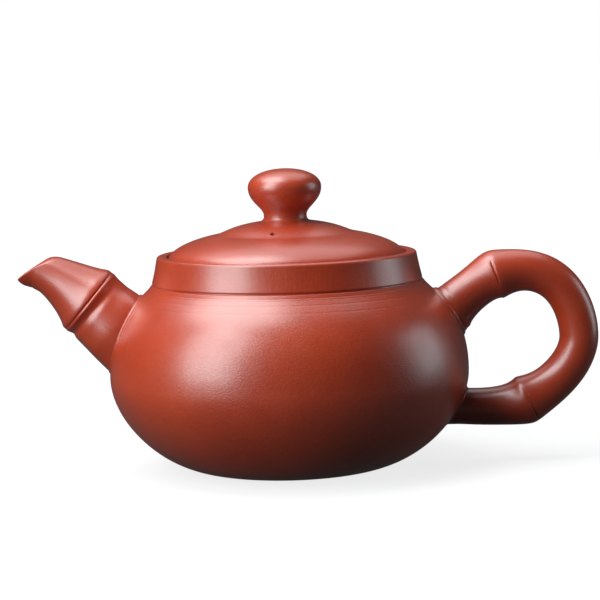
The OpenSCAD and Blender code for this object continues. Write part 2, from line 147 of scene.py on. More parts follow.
class TeapotSpout(bpy.types.PropertyGroup):
    """Shape of the bamboo-joint spout."""

    root_z: length("Root height", 37.2, "Height at which the spout's centreline leaves the belly")
    reach: length("Reach", 21.8, "Level distance from the belly to the mouth")
    rise: length("Rise", 15.6, "Rise from the belly to the mouth")
    leave: turn("Leaving angle", 133, "Heading of the centreline at the belly")
    arrive: turn("Mouth angle", 180, "Heading of the centreline at the mouth")
    pull: share("Pull", 0.21, "How long the centreline keeps each heading")
    root_d: length("Root diameter", 19.6, "Diameter at the belly")
    joint_d: length("Joint diameter", 18.6, "Diameter at the bamboo joint")
    mouth_d: length("Mouth diameter", 8.2, "Diameter at the mouth")
    joint_t: share("Joint place", 0.42, "Place of the bamboo joint along the centreline")
    fall: share("Narrowing", 2.8, "How quickly the spout narrows past its joint")
    wall: length("Root wall", 2.4, "Clay thickness at the root")
    lip: length("Lip wall", 1.5, "Clay thickness at the lip")
    lip_cut: turn("Lip cut", 33, "Angle of the pouring lip below level")
    ring_w: length("Ring width", 1.6, "Width of the raised ring at the joint")
    ring_back: length("Ring place", 1.9, "How far the ring stands back from the widest place of the joint")
    beak: length("Beak length", 3.0, "Length over which the underside of the lip curves up")
    seam_w: length("Seam width", 0.55, "Width of the slip pressed round the spout's root")


class TeapotStrainer(bpy.types.PropertyGroup):
    """Shape of the strainer."""

    wall: length("Thickness", 1.5, "Thickness of the domed strainer")
    hole_d: length("Hole diameter", 1.8, "Diameter of each hole")
    tilt: turn("Ring spacing", 27, "Angle between rings of holes, seen from the middle of the dome")
    inner_count: IntProperty(name="Inner ring", description="Holes in the inner ring", default=6, min=3, max=12)
    outer_count: IntProperty(name="Outer ring", description="Holes in the outer ring", default=11, min=3, max=20)


class TeapotHandle(bpy.types.PropertyGroup):
    """Shape of the bamboo-joint handle."""

    top_z: length("Upper root", 39.8, "Height at which the handle's upper end leaves the belly")
    foot_z: length("Lower root", 14.3, "Height at which the handle's lower end leaves the belly")
    reach: length("Reach", 28.7, "Distance from the belly to the outermost point of the centreline")
    upper_out: length("Upper joint out", 7.5, "Distance of the upper joint from the widest place")
    upper_rise: length("Upper joint rise", 8.4, "Rise of the upper joint above its root")
    lower_out: length("Lower joint out", 14.7, "Distance of the lower joint from the widest place")
    lower_rise: length("Lower joint rise", 1.2, "Rise of the lower joint above its root")
    thickness: length("Thickness", 10.1, "Thickness of the bow")
    joint_d: length("Joint thickness", 12.8, "Thickness at the bamboo joints")
    root_d: length("Upper root thickness", 13.0, "Thickness where the upper end meets the belly")
    foot_d: length("Lower root thickness", 9.4, "Thickness where the lower end meets the belly")
    ring_w: length("Ring width", 2.2, "Width of the rings at the joints")
    swell_run: length("Swell", 3.8, "Distance over which a joint swells out of the roll")
    seam_w: length("Seam width", 0.77, "Width of the slip pressed round the handle's roots")


class TeapotLid(bpy.types.PropertyGroup):
    """Shape of the lid and its knob."""

    edge: length("Edge height", 2.0, "Height of the lid's upright edge")
    crown: length("Crown", 3.2, "Rise of the crown above the low step")
    step_r: length("Step radius", 18.5, "Radius of the low step")
    wall: length("Thickness", 2.7, "Thickness of the lid")
    flange_wall: length("Flange wall", 2.2, "Thickness of the flange")
    neck_r: length("Neck radius", 5.6, "Radius of the knob's neck")
    hole_r: length("Air hole", 0.8, "Radius of the air hole")
    hole_out: length("Air hole place", 15.3, "Distance of the air hole from the centre")
    hole_turn: turn("Air hole turn", 258, "Direction of the air hole seen from above")


class TeapotClay(bpy.types.PropertyGroup):
    """Colours and finish of the fired clay."""

    body: colour("Clay", "AE391B", "Colour of the burnished clay")
    warm: colour("Warm patches", "B43E1D", "Colour of the clay where it fired lighter")
    deep: colour("Deep patches", "A53418", "Colour of the clay where it fired darker")
    dust: colour("Unburnished", "9A4630", "Colour of the clay inside, as it was fired")
    roughness: share("Roughness", 0.38, "Roughness of the burnished surface")
    grain: length("Grain", 0.60, "Width of the fine wrinkles left by burnishing")


class TeapotStudio(bpy.types.PropertyGroup):
    """Camera and light."""

    distance: length("Camera distance", 600, "Distance from the camera to the middle of the pot's axis")
    look_down: turn("Look down", 7.594, "Angle at which the camera looks down")
    roll: turn("Roll", 1.60, "How far the camera is turned about its line of sight")
    aim_z: length("Aim height", 27.675, "Height on the axis that the distance is measured to")
    focal: share("Focal length", 139.32, "Focal length in millimetres on a sensor 36 mm wide")
    aim_right: share("Aim right", 0.00532, "Tangent of the aim to the right of the axis")
    aim_up: share("Aim up", 0.02537, "Tangent of the aim above the middle of the body")
    key: share("Key light", 7.8, "Power of the tall softbox at the left, in watts")
    top: share("Top light", 4.9, "Power of the softbox above and to the left, in watts")
    ceiling: share("Ceiling light", 3.0, "Power of the large panel overhead, in watts")
    rim: share("Edge light", 0.9, "Power of the cool softbox at the right, in watts")
    ambient: share("Ambient", 0.008, "Strength of the light from all round")
    sheen: share("Background in sheen", 0.04, "Share of the white background that reflections show, 1 for metal")


# ---- Curves ----


def toward(angle, distance):
    """Plane vector of the given length at an angle."""
    return Vector((math.cos(angle), math.sin(angle))) * distance


def bezier(p, t):
    """Point of a cubic curve."""
    u = 1 - t
    return p[0] * u ** 3 + p[1] * (3 * u * u * t) + p[2] * (3 * u * t * t) + p[3] * t ** 3


def bezier_slope(p, t):
    """Slope of a cubic curve."""
    u = 1 - t
    return (p[1] - p[0]) * (3 * u * u) + (p[2] - p[1]) * (6 * u * t) + (p[3] - p[2]) * (3 * t * t)


def eased(start, run, near, far):
    """Cubic curve between two places, bent by shares of the run that it covers."""
    s = Vector(start)
    r = Vector(run)
    return [s, s + Vector((r.x * near[0], r.y * near[1])), s + Vector((r.x * far[0], r.y * far[1])), s + r]


def bend(start, leave, pull_from, end, arrive, pull_to):
    """Cubic curve that leaves one place and reaches the other at the given angles."""
    distance = (end - start).length
    return [start, start + toward(leave, pull_from * distance), end - toward(arrive, pull_to * distance), end]


def even(count):
    """Evenly spaced values from 0 to 1."""
    return [i / count for i in range(count + 1)]


def round_turns(count):
    """Evenly spaced angles round a full turn."""
    return [2 * math.pi * i / count for i in range(count)]


def steps(first, last, count, edge=0.004):
    """Evenly spaced values with one more close to each end, which keeps the shading true up to an edge."""
    span = last - first
    inner = [first + span * i / count for i in range(1, count)]
    return [first, first + span * edge] + inner + [last - span * edge, last]


def curve_points(p, times):
    """Points of a cubic curve as (radius, height) pairs."""
    return [tuple(bezier(p, t)) for t in times]


def left_of(p, t, distance):
    """Point at a distance to the left of a cubic curve."""
    s = bezier_slope(p, t)
    return tuple(bezier(p, t) + Vector((-s.y, s.x)).normalized() * distance)


def hump(x, centre, width):
    """Smooth rise of height 1."""
    return math.exp(-((x - centre) / width) ** 2)


def smooth(x, low, high):
    """0 below low, 1 above high, and smooth between them."""
    k = min(max((x - low) / (high - low), 0.0), 1.0)
    return k * k * (3 - 2 * k)


def relief(distance, shape):
    """Raised or sunk band, given as its height, its place and its width in millimetres."""
    height, place, width = (part * MM for part in shape)
    return height * hump(distance, place, width)


def boundary(is_inside, within, without):
    """Value at which a test stops passing, found by halving the interval."""
    for _ in range(HALVINGS):
        middle = (within + without) / 2
        if is_inside(middle):
            within = middle
        else:
            without = middle
    return (within + without) / 2


class PotProfile:
    """Outer and inner outline of the pot, from the standing ring to the collar."""

    def __init__(self, pot):
        run = COLLAR_Z - pot.belly_z
        base = Vector((BASE_R, 0))
        neck = Vector((COLLAR_R, COLLAR_Z))
        self.low = [
            base,
            base + toward(pot.base_lean, pot.base_pull * (BELLY_R - BASE_R)),
            Vector((BELLY_R, pot.belly_z * (1 - pot.low_swell))),
            Vector((BELLY_R, pot.belly_z)),
        ]
        self.high = [
            Vector((BELLY_R, pot.belly_z)),
            Vector((BELLY_R, pot.belly_z + pot.high_swell * run)),
            neck + toward(-pot.neck_lean, pot.neck_pull * run),
            neck,
        ]
        times = even(400)
        outline = curve_points(self.low, times) + curve_points(self.high, times)[1:]
        self.heights = np.array([p[1] for p in outline])
        self.radii = np.array([p[0] for p in outline])
        self.split = float(np.interp(SPLIT_Z, [bezier(self.high, t).y for t in times], times))

    def radius(self, z):
        """Outer radius at a height."""
        return float(np.interp(z, self.heights, self.radii))

    def holds(self, depth):
        """Test of whether a point is more than a depth inside the outer surface."""
        return lambda p: math.hypot(p.x, p.y) < self.radius(p.z) - depth


# ---- Meshes ----


def by_hand(p):
    """Point moved in by a few hundredths of a millimetre, as hand work is never quite round."""
    depth, span, calm_r = 0.06 * MM, 24 * MM, 4 * MM
    dent = depth * (1 + noise.noise(Vector(p) / span))
    k = 1 - dent / max(math.hypot(p[0], p[1]), calm_r)
    return p[0] * k, p[1] * k, p[2]


def stitch(bm, ring_a, ring_b):
    """Faces between two closed rings of vertices, either of which may be a single pole."""
    count = max(len(ring_a), len(ring_b))
    for i in range(count):
        j = (i + 1) % count
        if len(ring_a) == 1:
            bm.faces.new((ring_a[0], ring_b[j], ring_b[i]))
        elif len(ring_b) == 1:
            bm.faces.new((ring_a[i], ring_a[j], ring_b[0]))
        else:
            bm.faces.new((ring_a[i], ring_a[j], ring_b[j], ring_b[i]))


def link(name, mesh):
    """Object in the scene's collection that holds a mesh."""
    obj = bpy.data.objects.new(name, mesh)
    bpy.context.scene.collection.objects.link(obj)
    return obj


def shaded(obj):
    """The object, shaded smooth apart from its real edges."""
    obj.data.shade_smooth()
    obj.data.set_sharp_from_angle(angle=SHARP_ANGLE)
    return obj


def piece_from_rings(name, rings, closed):
    """Object whose skin runs over rings of points in order, and back to the first where closed is true."""
    bm = bmesh.new()
    verts = [[bm.verts.new(by_hand(p)) for p in ring] for ring in rings]
    pairs = list(zip(verts, verts[1:]))
    if closed:
        pairs.append((verts[-1], verts[0]))
    for ring_a, ring_b in pairs:
        stitch(bm, ring_a, ring_b)
    bmesh.ops.recalc_face_normals(bm, faces=bm.faces)
    mesh = bpy.data.meshes.new(name)
    bm.to_mesh(mesh)
    bm.free()
    return shaded(link(name, mesh))


def turned(name, outline, segments):
    """Piece turned about the pot's axis from an outline of (radius, height) pairs."""
    turns = round_turns(segments)
    rings = []
    for r, z in outline:
        if r < ON_AXIS:
            rings.append([(0.0, 0.0, z)])
        else:
            rings.append([(r * math.cos(a), r * math.sin(a), z) for a in turns])
    return piece_from_rings(name, rings, closed=outline[0][0] >= ON_AXIS)


def baked(obj):
    """The object with its modifiers' result as a plain mesh."""
    graph = bpy.context.evaluated_depsgraph_get()
    mesh = bpy.data.meshes.new_from_object(obj.evaluated_get(graph), depsgraph=graph)
    old = obj.data
    obj.modifiers.clear()
    obj.data = mesh
    bpy.data.meshes.remove(old)
    return shaded(obj)


def drilled(obj, centre, direction, radius, depth):
    """The object with a round hole, centred on a place."""
    bm = bmesh.new()
    place = Matrix.Translation(centre) @ Vector(direction).to_track_quat("Z", "Y").to_matrix().to_4x4()
    place @= Matrix.Rotation(OFF_GRID, 4, "Z")
    bmesh.ops.create_cone(bm, cap_ends=True, segments=64, radius1=radius, radius2=radius, depth=depth, matrix=place)
    mesh = bpy.data.meshes.new("drill")
    bm.to_mesh(mesh)
    bm.free()
    drill = link("drill", mesh)
    cut = obj.modifiers.new("Hole", "BOOLEAN")
    cut.operation = "DIFFERENCE"
    cut.solver = "EXACT"
    cut.object = drill
    baked(obj)
    bpy.data.objects.remove(drill)
    bpy.data.meshes.remove(mesh)
    return obj


def fitted(obj, node, body, slot, *materials):
    """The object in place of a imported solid, moving with its body and finished in the given materials."""
    for material in materials:
        obj.data.materials.append(material)
    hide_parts(node)
    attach(obj, body)
    return obj


def inner_faces(obj, is_inside):
    """Gives the second material to the faces whose middle passes the test."""
    for face in obj.data.polygons:
        if is_inside(face.center):
            face.material_index = 1


# ---- Rolls ----


class Roll:
    """Round clay roll along a curved centreline in the XZ plane, measured by distance along it.

    The angle phi goes round the roll: 0 is to the left of its heading, and 90 degrees is +Y.
    """

    def __init__(self, curves):
        points, headings, times = [], [], []
        for k, p in enumerate(curves):
            for t in even(160)[min(k, 1):]:
                slope = bezier_slope(p, t)
                points.append(bezier(p, t))
                headings.append(math.atan2(slope.y, slope.x))
                times.append(k + t)
        self.xs, self.zs = np.array(points).T
        gaps = np.hypot(np.diff(self.xs), np.diff(self.zs))
        self.along = np.concatenate([[0.0], np.cumsum(gaps)])
        self.headings = np.unwrap(np.array(headings))
        self.times = np.array(times)
        self.length = float(self.along[-1])

    def place_of(self, time):
        """Distance along the centreline at its curves' parameter."""
        return float(np.interp(time, self.times, self.along))

    def time_of(self, place):
        """Parameter of its curves at a distance along the centreline."""
        return float(np.interp(place, self.along, self.times))

    def centre(self, place):
        """Centre (x, z) and heading. The centreline runs on straight past both ends."""
        inside = min(max(place, 0.0), self.length)
        past = place - inside
        heading = float(np.interp(inside, self.along, self.headings))
        x = float(np.interp(inside, self.along, self.xs)) + past * math.cos(heading)
        z = float(np.interp(inside, self.along, self.zs)) + past * math.sin(heading)
        return x, z, heading

    def skin(self, place, phi, radius):
        """Point at a radius from the centreline."""
        x, z, heading = self.centre(place)
        side = radius * math.cos(phi)
        return Vector((x - side * math.sin(heading), radius * math.sin(phi), z + side * math.cos(heading)))


ROUND = round_turns(112)
PAST_ENDS = 9 * MM  # run of the skins past the ends of their centreline, into the belly
SUNK = 0.25 * MM  # depth to which a roll's end goes into the belly


def leaves(form, phi, radius_at, inside, within, without):
    """Place at which the skin of a roll leaves a solid."""
    return boundary(lambda place: inside(form.skin(place, phi, radius_at(place, phi))), within, without)


def ripple(place, phi):
    """Small unevenness of a roll shaped between the fingers."""
    height, span, turns = 0.07 * MM, 7 * MM, 1.4
    return height * noise.noise(Vector((place / span, turns * math.cos(phi), turns * math.sin(phi))))


def places(first, last, coarse, fine, centre, reach):
    """Values from first to last, close together within reach of a centre and next to both ends."""
    edge = (last - first) * 0.002
    found = [first, first + edge]
    place = first
    while place < last:
        place += fine if abs(place - centre) < reach else coarse
        if place < last - fine / 2:
            found.append(place)
    return found + [last - edge, last]


def sleeve(form, starts, ends, shares, radius_at):
    """Rings of skin between two places, each of which may differ round the roll."""
    return [
        [
            form.skin(a + (b - a) * k, phi, radius_at(a + (b - a) * k, phi))
            for phi, a, b in zip(ROUND, starts, ends)
        ]
        for k in shares
    ]


def everywhere(place):
    """The same place all round a roll."""
    return [place] * len(ROUND)


def middle_of(ring):
    """Middle of a ring, as a ring of one point."""
    return [sum(ring, Vector()) / len(ring)]


def solid_piece(name, rings):
    """Solid roll between its first and last ring, closed at both ends."""
    return piece_from_rings(name, [middle_of(rings[0])] + rings + [middle_of(rings[-1])], closed=False)


class SpoutForm:
    """Where the spout's skin lies. Its tooling is measured from the widest place of the bamboo joint."""

    FLARE = (0.18, 0.05, 0.8)
    LINE = (-0.34, -0.92, 0.17)
    BAND = (0.24, -1.62, 0.50)
    LOW_HOLLOW = (-0.42, -3.4, 1.0)
    TOP_HOLLOW = (-0.45, -5.6, 2.6)
    LIP_DROOP = (-0.5, 0.1, 1.3)
    LIP_CURL = 2.6 * MM
    SOFTENED = [k * 0.35 * MM for k in range(-3, 4)]

    def __init__(self, sizes, profile):
        self.sizes = sizes
        self.profile = profile
        start = Vector((-profile.radius(sizes.root_z), sizes.root_z))
        self.mouth = start + Vector((-sizes.reach, sizes.rise))
        self.roll = Roll([bend(start, sizes.leave, sizes.pull, self.mouth, sizes.arrive, sizes.pull)])
        self.joint = self.roll.place_of(sizes.joint_t)
        self.ring = self.joint - sizes.ring_back
        self.channel_r = sizes.root_d / 2 - sizes.wall

    def plain(self, place):
        """Radius before tooling."""
        s = self.sizes
        t = self.roll.time_of(place)
        if t < s.joint_t:
            return (s.root_d + (s.joint_d - s.root_d) * t / s.joint_t) / 2
        end = math.exp(-s.fall * (1 - s.joint_t))
        k = (math.exp(-s.fall * (t - s.joint_t)) - end) / (1 - end)
        return s.mouth_d / 2 + (s.joint_d - s.mouth_d) / 2 * k

    def skin(self, place, phi, radius):
        """Point of the skin. Towards the lip the underside curves up into a short beak."""
        p = self.roll.skin(place, phi, radius)
        under = (self.mouth.y - p.z) / (self.sizes.mouth_d / 2)
        past = self.mouth.x - p.x
        if under > 0 and past > -4 * MM:
            rise = max(past - 1.5 * MM, 0) / self.sizes.beak
            p.z += under * (self.LIP_CURL * rise * rise + relief(past, self.LIP_DROOP))
        return p

    def outer(self, place, phi):
        """Outer radius with the cut line, the raised band and the soft hollow of the bamboo joint."""
        d = place - self.joint
        side = smooth(abs(math.sin(phi)), 0.30, 0.75)
        top = smooth(-math.cos(phi), 0.2, 0.9)
        radius = sum(self.plain(place + near) for near in self.SOFTENED) / len(self.SOFTENED)
        radius += (1 - 0.7 * side) * relief(d, self.FLARE)
        radius += side * relief(d, self.LINE)
        radius += (0.4 + 0.6 * side) * relief(d, self.BAND)
        radius += (1 - 0.75 * top) * relief(d, self.LOW_HOLLOW) + top * relief(d, self.TOP_HOLLOW)
        radius += 1.15 * MM * side * smooth(-d, 2.6 * MM, 11.0 * MM)
        return radius + ripple(place, phi)

    def inner(self, place, _phi):
        """Radius of the channel."""
        t = self.roll.time_of(place)
        return self.plain(place) - self.sizes.wall - (self.sizes.lip - self.sizes.wall) * t

    def below_lip(self, point):
        """Whether a point is on the pot's side of the slanting lip."""
        cut = self.sizes.lip_cut
        above = 0.3 * MM
        return (point.x - self.mouth.x) * -math.sin(cut) + (point.z - self.mouth.y) * math.cos(cut) < above

    def roots(self, radius_at, sunk):
        """Places at which a skin of the spout leaves the belly."""
        inside = self.profile.holds(sunk)
        return [leaves(self, phi, radius_at, inside, -PAST_ENDS, self.joint) for phi in ROUND]


def spout_root_piece(form):
    """Lower bamboo length of the spout, from just inside the belly to the ring."""
    end = everywhere(form.ring - form.sizes.ring_w / 2)
    shares = places(0.0, 1.0, 0.03, 0.012, 1.0, 0.35)
    rings = sleeve(form, form.roots(form.outer, SUNK), end, shares, form.outer)
    rings += sleeve(form, form.roots(form.inner, SUNK), end, shares[::-3], form.inner)
    return piece_from_rings("spout_root_clay", rings, closed=True)


def spout_ring_piece(form):
    """Raised ring of the spout's bamboo joint."""
    half = form.sizes.ring_w / 2
    start, end = everywhere(form.ring - half), everywhere(form.ring + half)
    rings = sleeve(form, start, end, steps(0, 1, 22), form.outer)
    rings += sleeve(form, start, end, (1.0, 0.5, 0.0), form.inner)
    return piece_from_rings("spout_ring_clay", rings, closed=True)


def spout_tip_piece(form):
    """Upper bamboo length of the spout with its slanting pouring lip."""
    start = everywhere(form.ring + form.sizes.ring_w / 2)
    far = form.roll.length + PAST_ENDS
    outside = [leaves(form, phi, form.outer, form.below_lip, form.joint, far) for phi in ROUND]
    inside = [leaves(form, phi, form.inner, form.below_lip, form.joint, far) for phi in ROUND]
    # The lip's edge is rounded over 0.5 mm, and over 2 mm on its top side
    before_out = [a - (0.5 + 1.5 * smooth(-math.cos(phi), 0.2, 1.0)) * MM for a, phi in zip(outside, ROUND)]
    before_in = [a - 0.5 * MM for a in inside]
    shares = places(0.0, 1.0, 0.03, 0.010, 0.0, 0.20)
    rings = sleeve(form, start, before_out, shares, form.outer)
    corners = [
        rings[-1],
        sleeve(form, start, outside, [1.0], form.outer)[0],
        sleeve(form, start, inside, [1.0], form.inner)[0],
        sleeve(form, start, before_in, [1.0], form.inner)[0],
    ]
    for t in even(12)[1:-1]:
        rings.append([bezier(four, t) for four in zip(*corners)])
    rings += sleeve(form, start, before_in, shares[::-2] + [0.0], form.inner)
    return piece_from_rings("spout_tip_clay", rings, closed=True)


class HandleForm:
    """Where the handle's skin lies. Phi 0 is the outside of its loop."""

    TURNS = tuple(math.radians(a) for a in (48, 16, -90, -157, -180))
    UPPER_CREASE = (-0.30, -0.30, 0.20)
    LOWER_CREASE = (-0.36, -0.65, 0.20)
    ROOT_LINE = (-0.10, 1.75, 0.16)

    def __init__(self, sizes, profile):
        self.sizes = sizes
        self.profile = profile
        top = Vector((profile.radius(sizes.top_z), sizes.top_z))
        foot = Vector((profile.radius(sizes.foot_z), sizes.foot_z))
        upper = Vector((BELLY_R + sizes.upper_out, sizes.top_z + sizes.upper_rise))
        lower = Vector((BELLY_R + sizes.lower_out, sizes.foot_z + sizes.lower_rise))
        peak = Vector((BELLY_R + sizes.reach, (upper.y + lower.y) / 2))
        top_turn, upper_turn, peak_turn, lower_turn, foot_turn = self.TURNS
        self.roll = Roll([
            bend(top, top_turn, 0.16, upper, upper_turn, 0.26),
            bend(upper, upper_turn, 0.60, peak, peak_turn, 0.31),
            bend(peak, peak_turn, 0.24, lower, lower_turn, 0.47),
            bend(lower, lower_turn, 0.35, foot, foot_turn, 0.17),
        ])
        self.upper = self.roll.place_of(1.0)
        self.lower = self.roll.place_of(3.0)
        self.skin = self.roll.skin
        inside = profile.holds(0.0)
        self.root = {phi: leaves(self, phi, self.jointed, inside, -PAST_ENDS, self.upper) for phi in ROUND}

    def plain(self, place):
        """Radius without the bamboo joints."""
        s = self.sizes
        t = self.roll.time_of(place)
        if t < 1:
            slim = s.thickness / 2 - 0.1 * MM
            return slim + (s.root_d / 2 - slim) * (1 - t) ** 2
        return s.thickness / 2 if t < 3 else s.foot_d / 2

    def jointed(self, place, phi):
        """Radius with both bamboo joints and the creases pressed beside them."""
        base = self.plain(place)
        blunt = 1.4 * MM
        joint_r = self.sizes.joint_d / 2 - 0.02 * MM
        across, front = math.cos(phi), abs(math.sin(phi))
        radius = base
        for d in (place - self.upper, self.lower - place):
            distance = math.hypot(d, blunt) - blunt
            radius += (joint_r - base) * math.exp(-distance / self.sizes.swell_run)
        upper_fade = smooth(across, -0.45, -0.10) * (1 - smooth(across, 0.45, 0.78)) * smooth(front, 0.30, 0.60)
        lower_fade = smooth(across, -0.50, -0.05) * smooth(front, 0.10, 0.35)
        radius += upper_fade * relief(place - self.upper, self.UPPER_CREASE)
        radius += lower_fade * relief(place - self.lower, self.LOWER_CREASE)
        return radius + ripple(place, phi)

    def outer(self, place, phi):
        """Outer radius with all its tooling, down to the line drawn round the upper root."""
        return self.jointed(place, phi) + relief(place - self.root[phi], self.ROOT_LINE)

    def upper_roots(self, sunk):
        """Places at which the skin leaves the belly at the top."""
        inside = self.profile.holds(sunk)
        return [leaves(self, phi, self.outer, inside, -PAST_ENDS, self.upper) for phi in ROUND]

    def lower_roots(self, sunk):
        """Places at which the skin leaves the belly at the bottom."""
        inside = self.profile.holds(sunk)
        far = self.roll.length + PAST_ENDS
        return [leaves(self, phi, self.outer, inside, far, self.lower) for phi in ROUND]


def handle_pieces(form):
    """The three bamboo lengths of the handle and its two rings, as node name and object."""
    half = form.sizes.ring_w / 2
    to_ring = places(0.0, 1.0, 0.03, 0.010, 1.0, 0.30)
    bow_from, bow_to = form.upper + half, form.lower - half
    bow = bow_to - bow_from
    near, coarse, fine = 2 * MM / bow, 0.7 * MM / bow, 0.09 * MM / bow
    ends = places(0.0, near, fine, fine, 0.0, near)
    bow_shares = ends[:-1] + places(near, 1 - near, coarse, fine, 0.0, 0.0)
    bow_shares += [1 - k for k in reversed(ends[:-1])]
    upper_to, lower_to = everywhere(form.upper - half), everywhere(form.lower + half)
    ring_shares = steps(0, 1, 30)
    spans = {
        "handle_upper_section": (form.upper_roots(SUNK), upper_to, to_ring),
        "handle_upper_joint": (upper_to, everywhere(bow_from), ring_shares),
        "handle_bow": (everywhere(bow_from), everywhere(bow_to), bow_shares),
        "handle_lower_joint": (everywhere(bow_to), lower_to, ring_shares),
        "handle_lower_section": (form.lower_roots(SUNK), lower_to, to_ring),
    }
    for name, (start, end, shares) in spans.items():
        yield name, solid_piece(name + "_clay", sleeve(form, start, end, shares, form.outer))


def seam_piece(name, form, roots, outward, width):
    """Bead of slip pressed into the corner between the belly and a roll that leaves it."""
    bulge, edge = 0.16 * MM, 0.05 * MM
    across = even(7)
    rings = [[] for _ in range(len(across) + 2)]
    for phi, root in zip(ROUND, roots):
        radius = form.outer(root, phi)
        crook = form.skin(root, phi, radius)
        up = form.skin(root + outward * width, phi, form.outer(root + outward * width, phi))
        out = form.skin(root, phi, radius + width)
        k = form.profile.radius(out.z) / math.hypot(out.x, out.y)
        foot = Vector((out.x * k, out.y * k, out.z))
        lift = ((foot + up) / 2 - crook).normalized()
        lump = 1 + 0.35 * noise.noise(crook / (1.6 * MM))
        bead = [foot.lerp(up, t) + lift * (bulge * lump * math.sin(math.pi * t) - edge) for t in across]
        back = [end.lerp(crook, 0.5) - lift * edge * 2 for end in (up, foot)]
        for ring, point in zip(rings, bead + back):
            ring.append(point)
    return piece_from_rings(name, rings, closed=True)


# ---- Pot and lid ----


def corner(before, at, after, radius, count=4):
    """Points of a rounded corner of an outline."""
    a, p, b = Vector(before), Vector(at), Vector(after)
    start = p + (a - p).normalized() * radius
    end = p + (b - p).normalized() * radius
    return [tuple(start * (1 - t) ** 2 + p * (2 * t * (1 - t)) + end * t * t) for t in even(count)]


def straight(a, b, count=6):
    """Points along a straight stretch of an outline, without its ends."""
    return [tuple(Vector(a).lerp(Vector(b), k)) for k in steps(0, 1, count)[1:-1]]


def walk(*points):
    """Points along straight stretches of an outline, with the end of each."""
    found = []
    for a, b in zip(points, points[1:]):
        found += straight(a, b) + [b]
    return found


def tooled(p, times, grooves):
    """Points of a curve with grooves cut in, given as distance from the curve's end, depth and width."""
    points = [bezier(p, t) for t in times]
    gaps = [(b - a).length for a, b in zip(points, points[1:])]
    left = [sum(gaps[i:]) for i in range(len(points))]
    found = []
    for t, to_end in zip(times, left):
        depth = sum(d * hump(to_end, place, width) for place, d, width in grooves)
        found.append(left_of(p, t, depth))
    return found


def base_piece(pot):
    """Bottom of the pot, let in inside the ring that it stands on."""
    ring_in = BASE_R - pot.base_ring_w
    slope = (ring_in - pot.base_recess, pot.base_recess)
    stand = (ring_in, 0)
    outline = [(0, pot.base_recess), (slope[0] / 2, pot.base_recess)]
    outline += corner((0, pot.base_recess), slope, stand, 0.6 * MM)
    outline += corner(slope, stand, (BASE_R, 0), 0.6 * MM)
    outline += walk(stand, (BASE_R, 0), (BASE_R, WALL), (0, WALL))
    return turned("base_clay", outline, pot.segments)


def belly_piece(pot, profile):
    """Round wall of the pot."""
    up = even(60)
    high = [profile.split * k for k in steps(0, 1, 30)]
    outer = curve_points(profile.low, [0, 0.002] + up[1:]) + curve_points(profile.high, high[1:])
    inner = [(BASE_R, WALL)] + [left_of(profile.low, t, WALL) for t in up[4::2]]
    inner += [left_of(profile.high, t, WALL) for t in high[2::2]]
    return turned("belly_clay", outer + inner[::-1], pot.segments)


def shoulder_piece(pot, profile):
    """Top closing disc of the pot, with the line tooled at the foot of the collar and the marks of its turning."""
    span = 1 - profile.split
    times = [profile.split + span * k for k in steps(0, 1, 90)]
    times = sorted(times + [1 - span * k for k in (0.0008, 0.002, 0.007)])
    grooves = (
        (0.0, pot.crease, 0.24 * MM),
        (1.35 * MM, 0.05 * MM, 0.14 * MM),
        (1.95 * MM, 0.03 * MM, 0.12 * MM),
        (3.6 * MM, 0.03 * MM, 0.20 * MM),
        (6.1 * MM, 0.02 * MM, 0.25 * MM),
    )
    outer = tooled(profile.high, times, grooves)
    top = (outer[-1][0], COLLAR_Z)
    under = (left_of(profile.high, 1.0, WALL)[0], COLLAR_Z - WALL)
    edge_top, edge_low = (pot.mouth_r, COLLAR_Z), (pot.mouth_r, COLLAR_Z - WALL)
    outline = outer[:-1] + [top] + walk(top, edge_top) + straight(edge_top, edge_low)
    outline += corner(edge_top, edge_low, under, 0.5 * MM) + [under]
    outline += [left_of(profile.high, profile.split + (0.86 - profile.split) * k, WALL) for k in steps(1, 0, 12)]
    return turned("shoulder_clay", outline, pot.segments)


def collar_piece(pot):
    """Upright collar and rim of the pot."""
    groove = pot.crease * 0.8
    foot = (COLLAR_R, COLLAR_Z)
    edge = (pot.rim_r, RIM_Z)
    lip = (RECESS_R, RIM_Z)
    wall = []
    for k in steps(0, 1, 60):
        r = foot[0] + (edge[0] - foot[0]) * k
        z = foot[1] + (edge[1] - foot[1]) * k
        bow = 0.10 * MM * math.sin(math.pi * k)
        wall.append((r - groove * hump(z - COLLAR_Z, 0, 0.22 * MM) - bow, z))
    wall = [p for p in wall if p[1] < RIM_Z - pot.rim_round]
    outline = wall + corner(wall[-1], edge, lip, pot.rim_round, 7)
    outline += straight(edge, lip, 4)[2:-2] + corner(edge, lip, (RECESS_R, COLLAR_Z), 0.35 * MM, 5)
    outline += straight(lip, (RECESS_R, COLLAR_Z))[2:] + [(RECESS_R, COLLAR_Z)]
    outline += straight((RECESS_R, COLLAR_Z), wall[0])
    return turned("collar_clay", outline, pot.segments)


def seat_piece(pot):
    """Ledge inside the collar that the lid lies on."""
    low_in, low_out = (pot.mouth_r, COLLAR_Z), (RECESS_R, COLLAR_Z)
    top_out, top_in = (RECESS_R, SEAT_Z), (pot.mouth_r, SEAT_Z)
    outline = [low_in] + walk(low_in, low_out, top_out) + straight(top_out, top_in)
    outline += corner(top_out, top_in, low_in, 0.5 * MM, 5) + straight(top_in, low_in)[2:]
    return turned("seat_clay", outline, pot.segments)


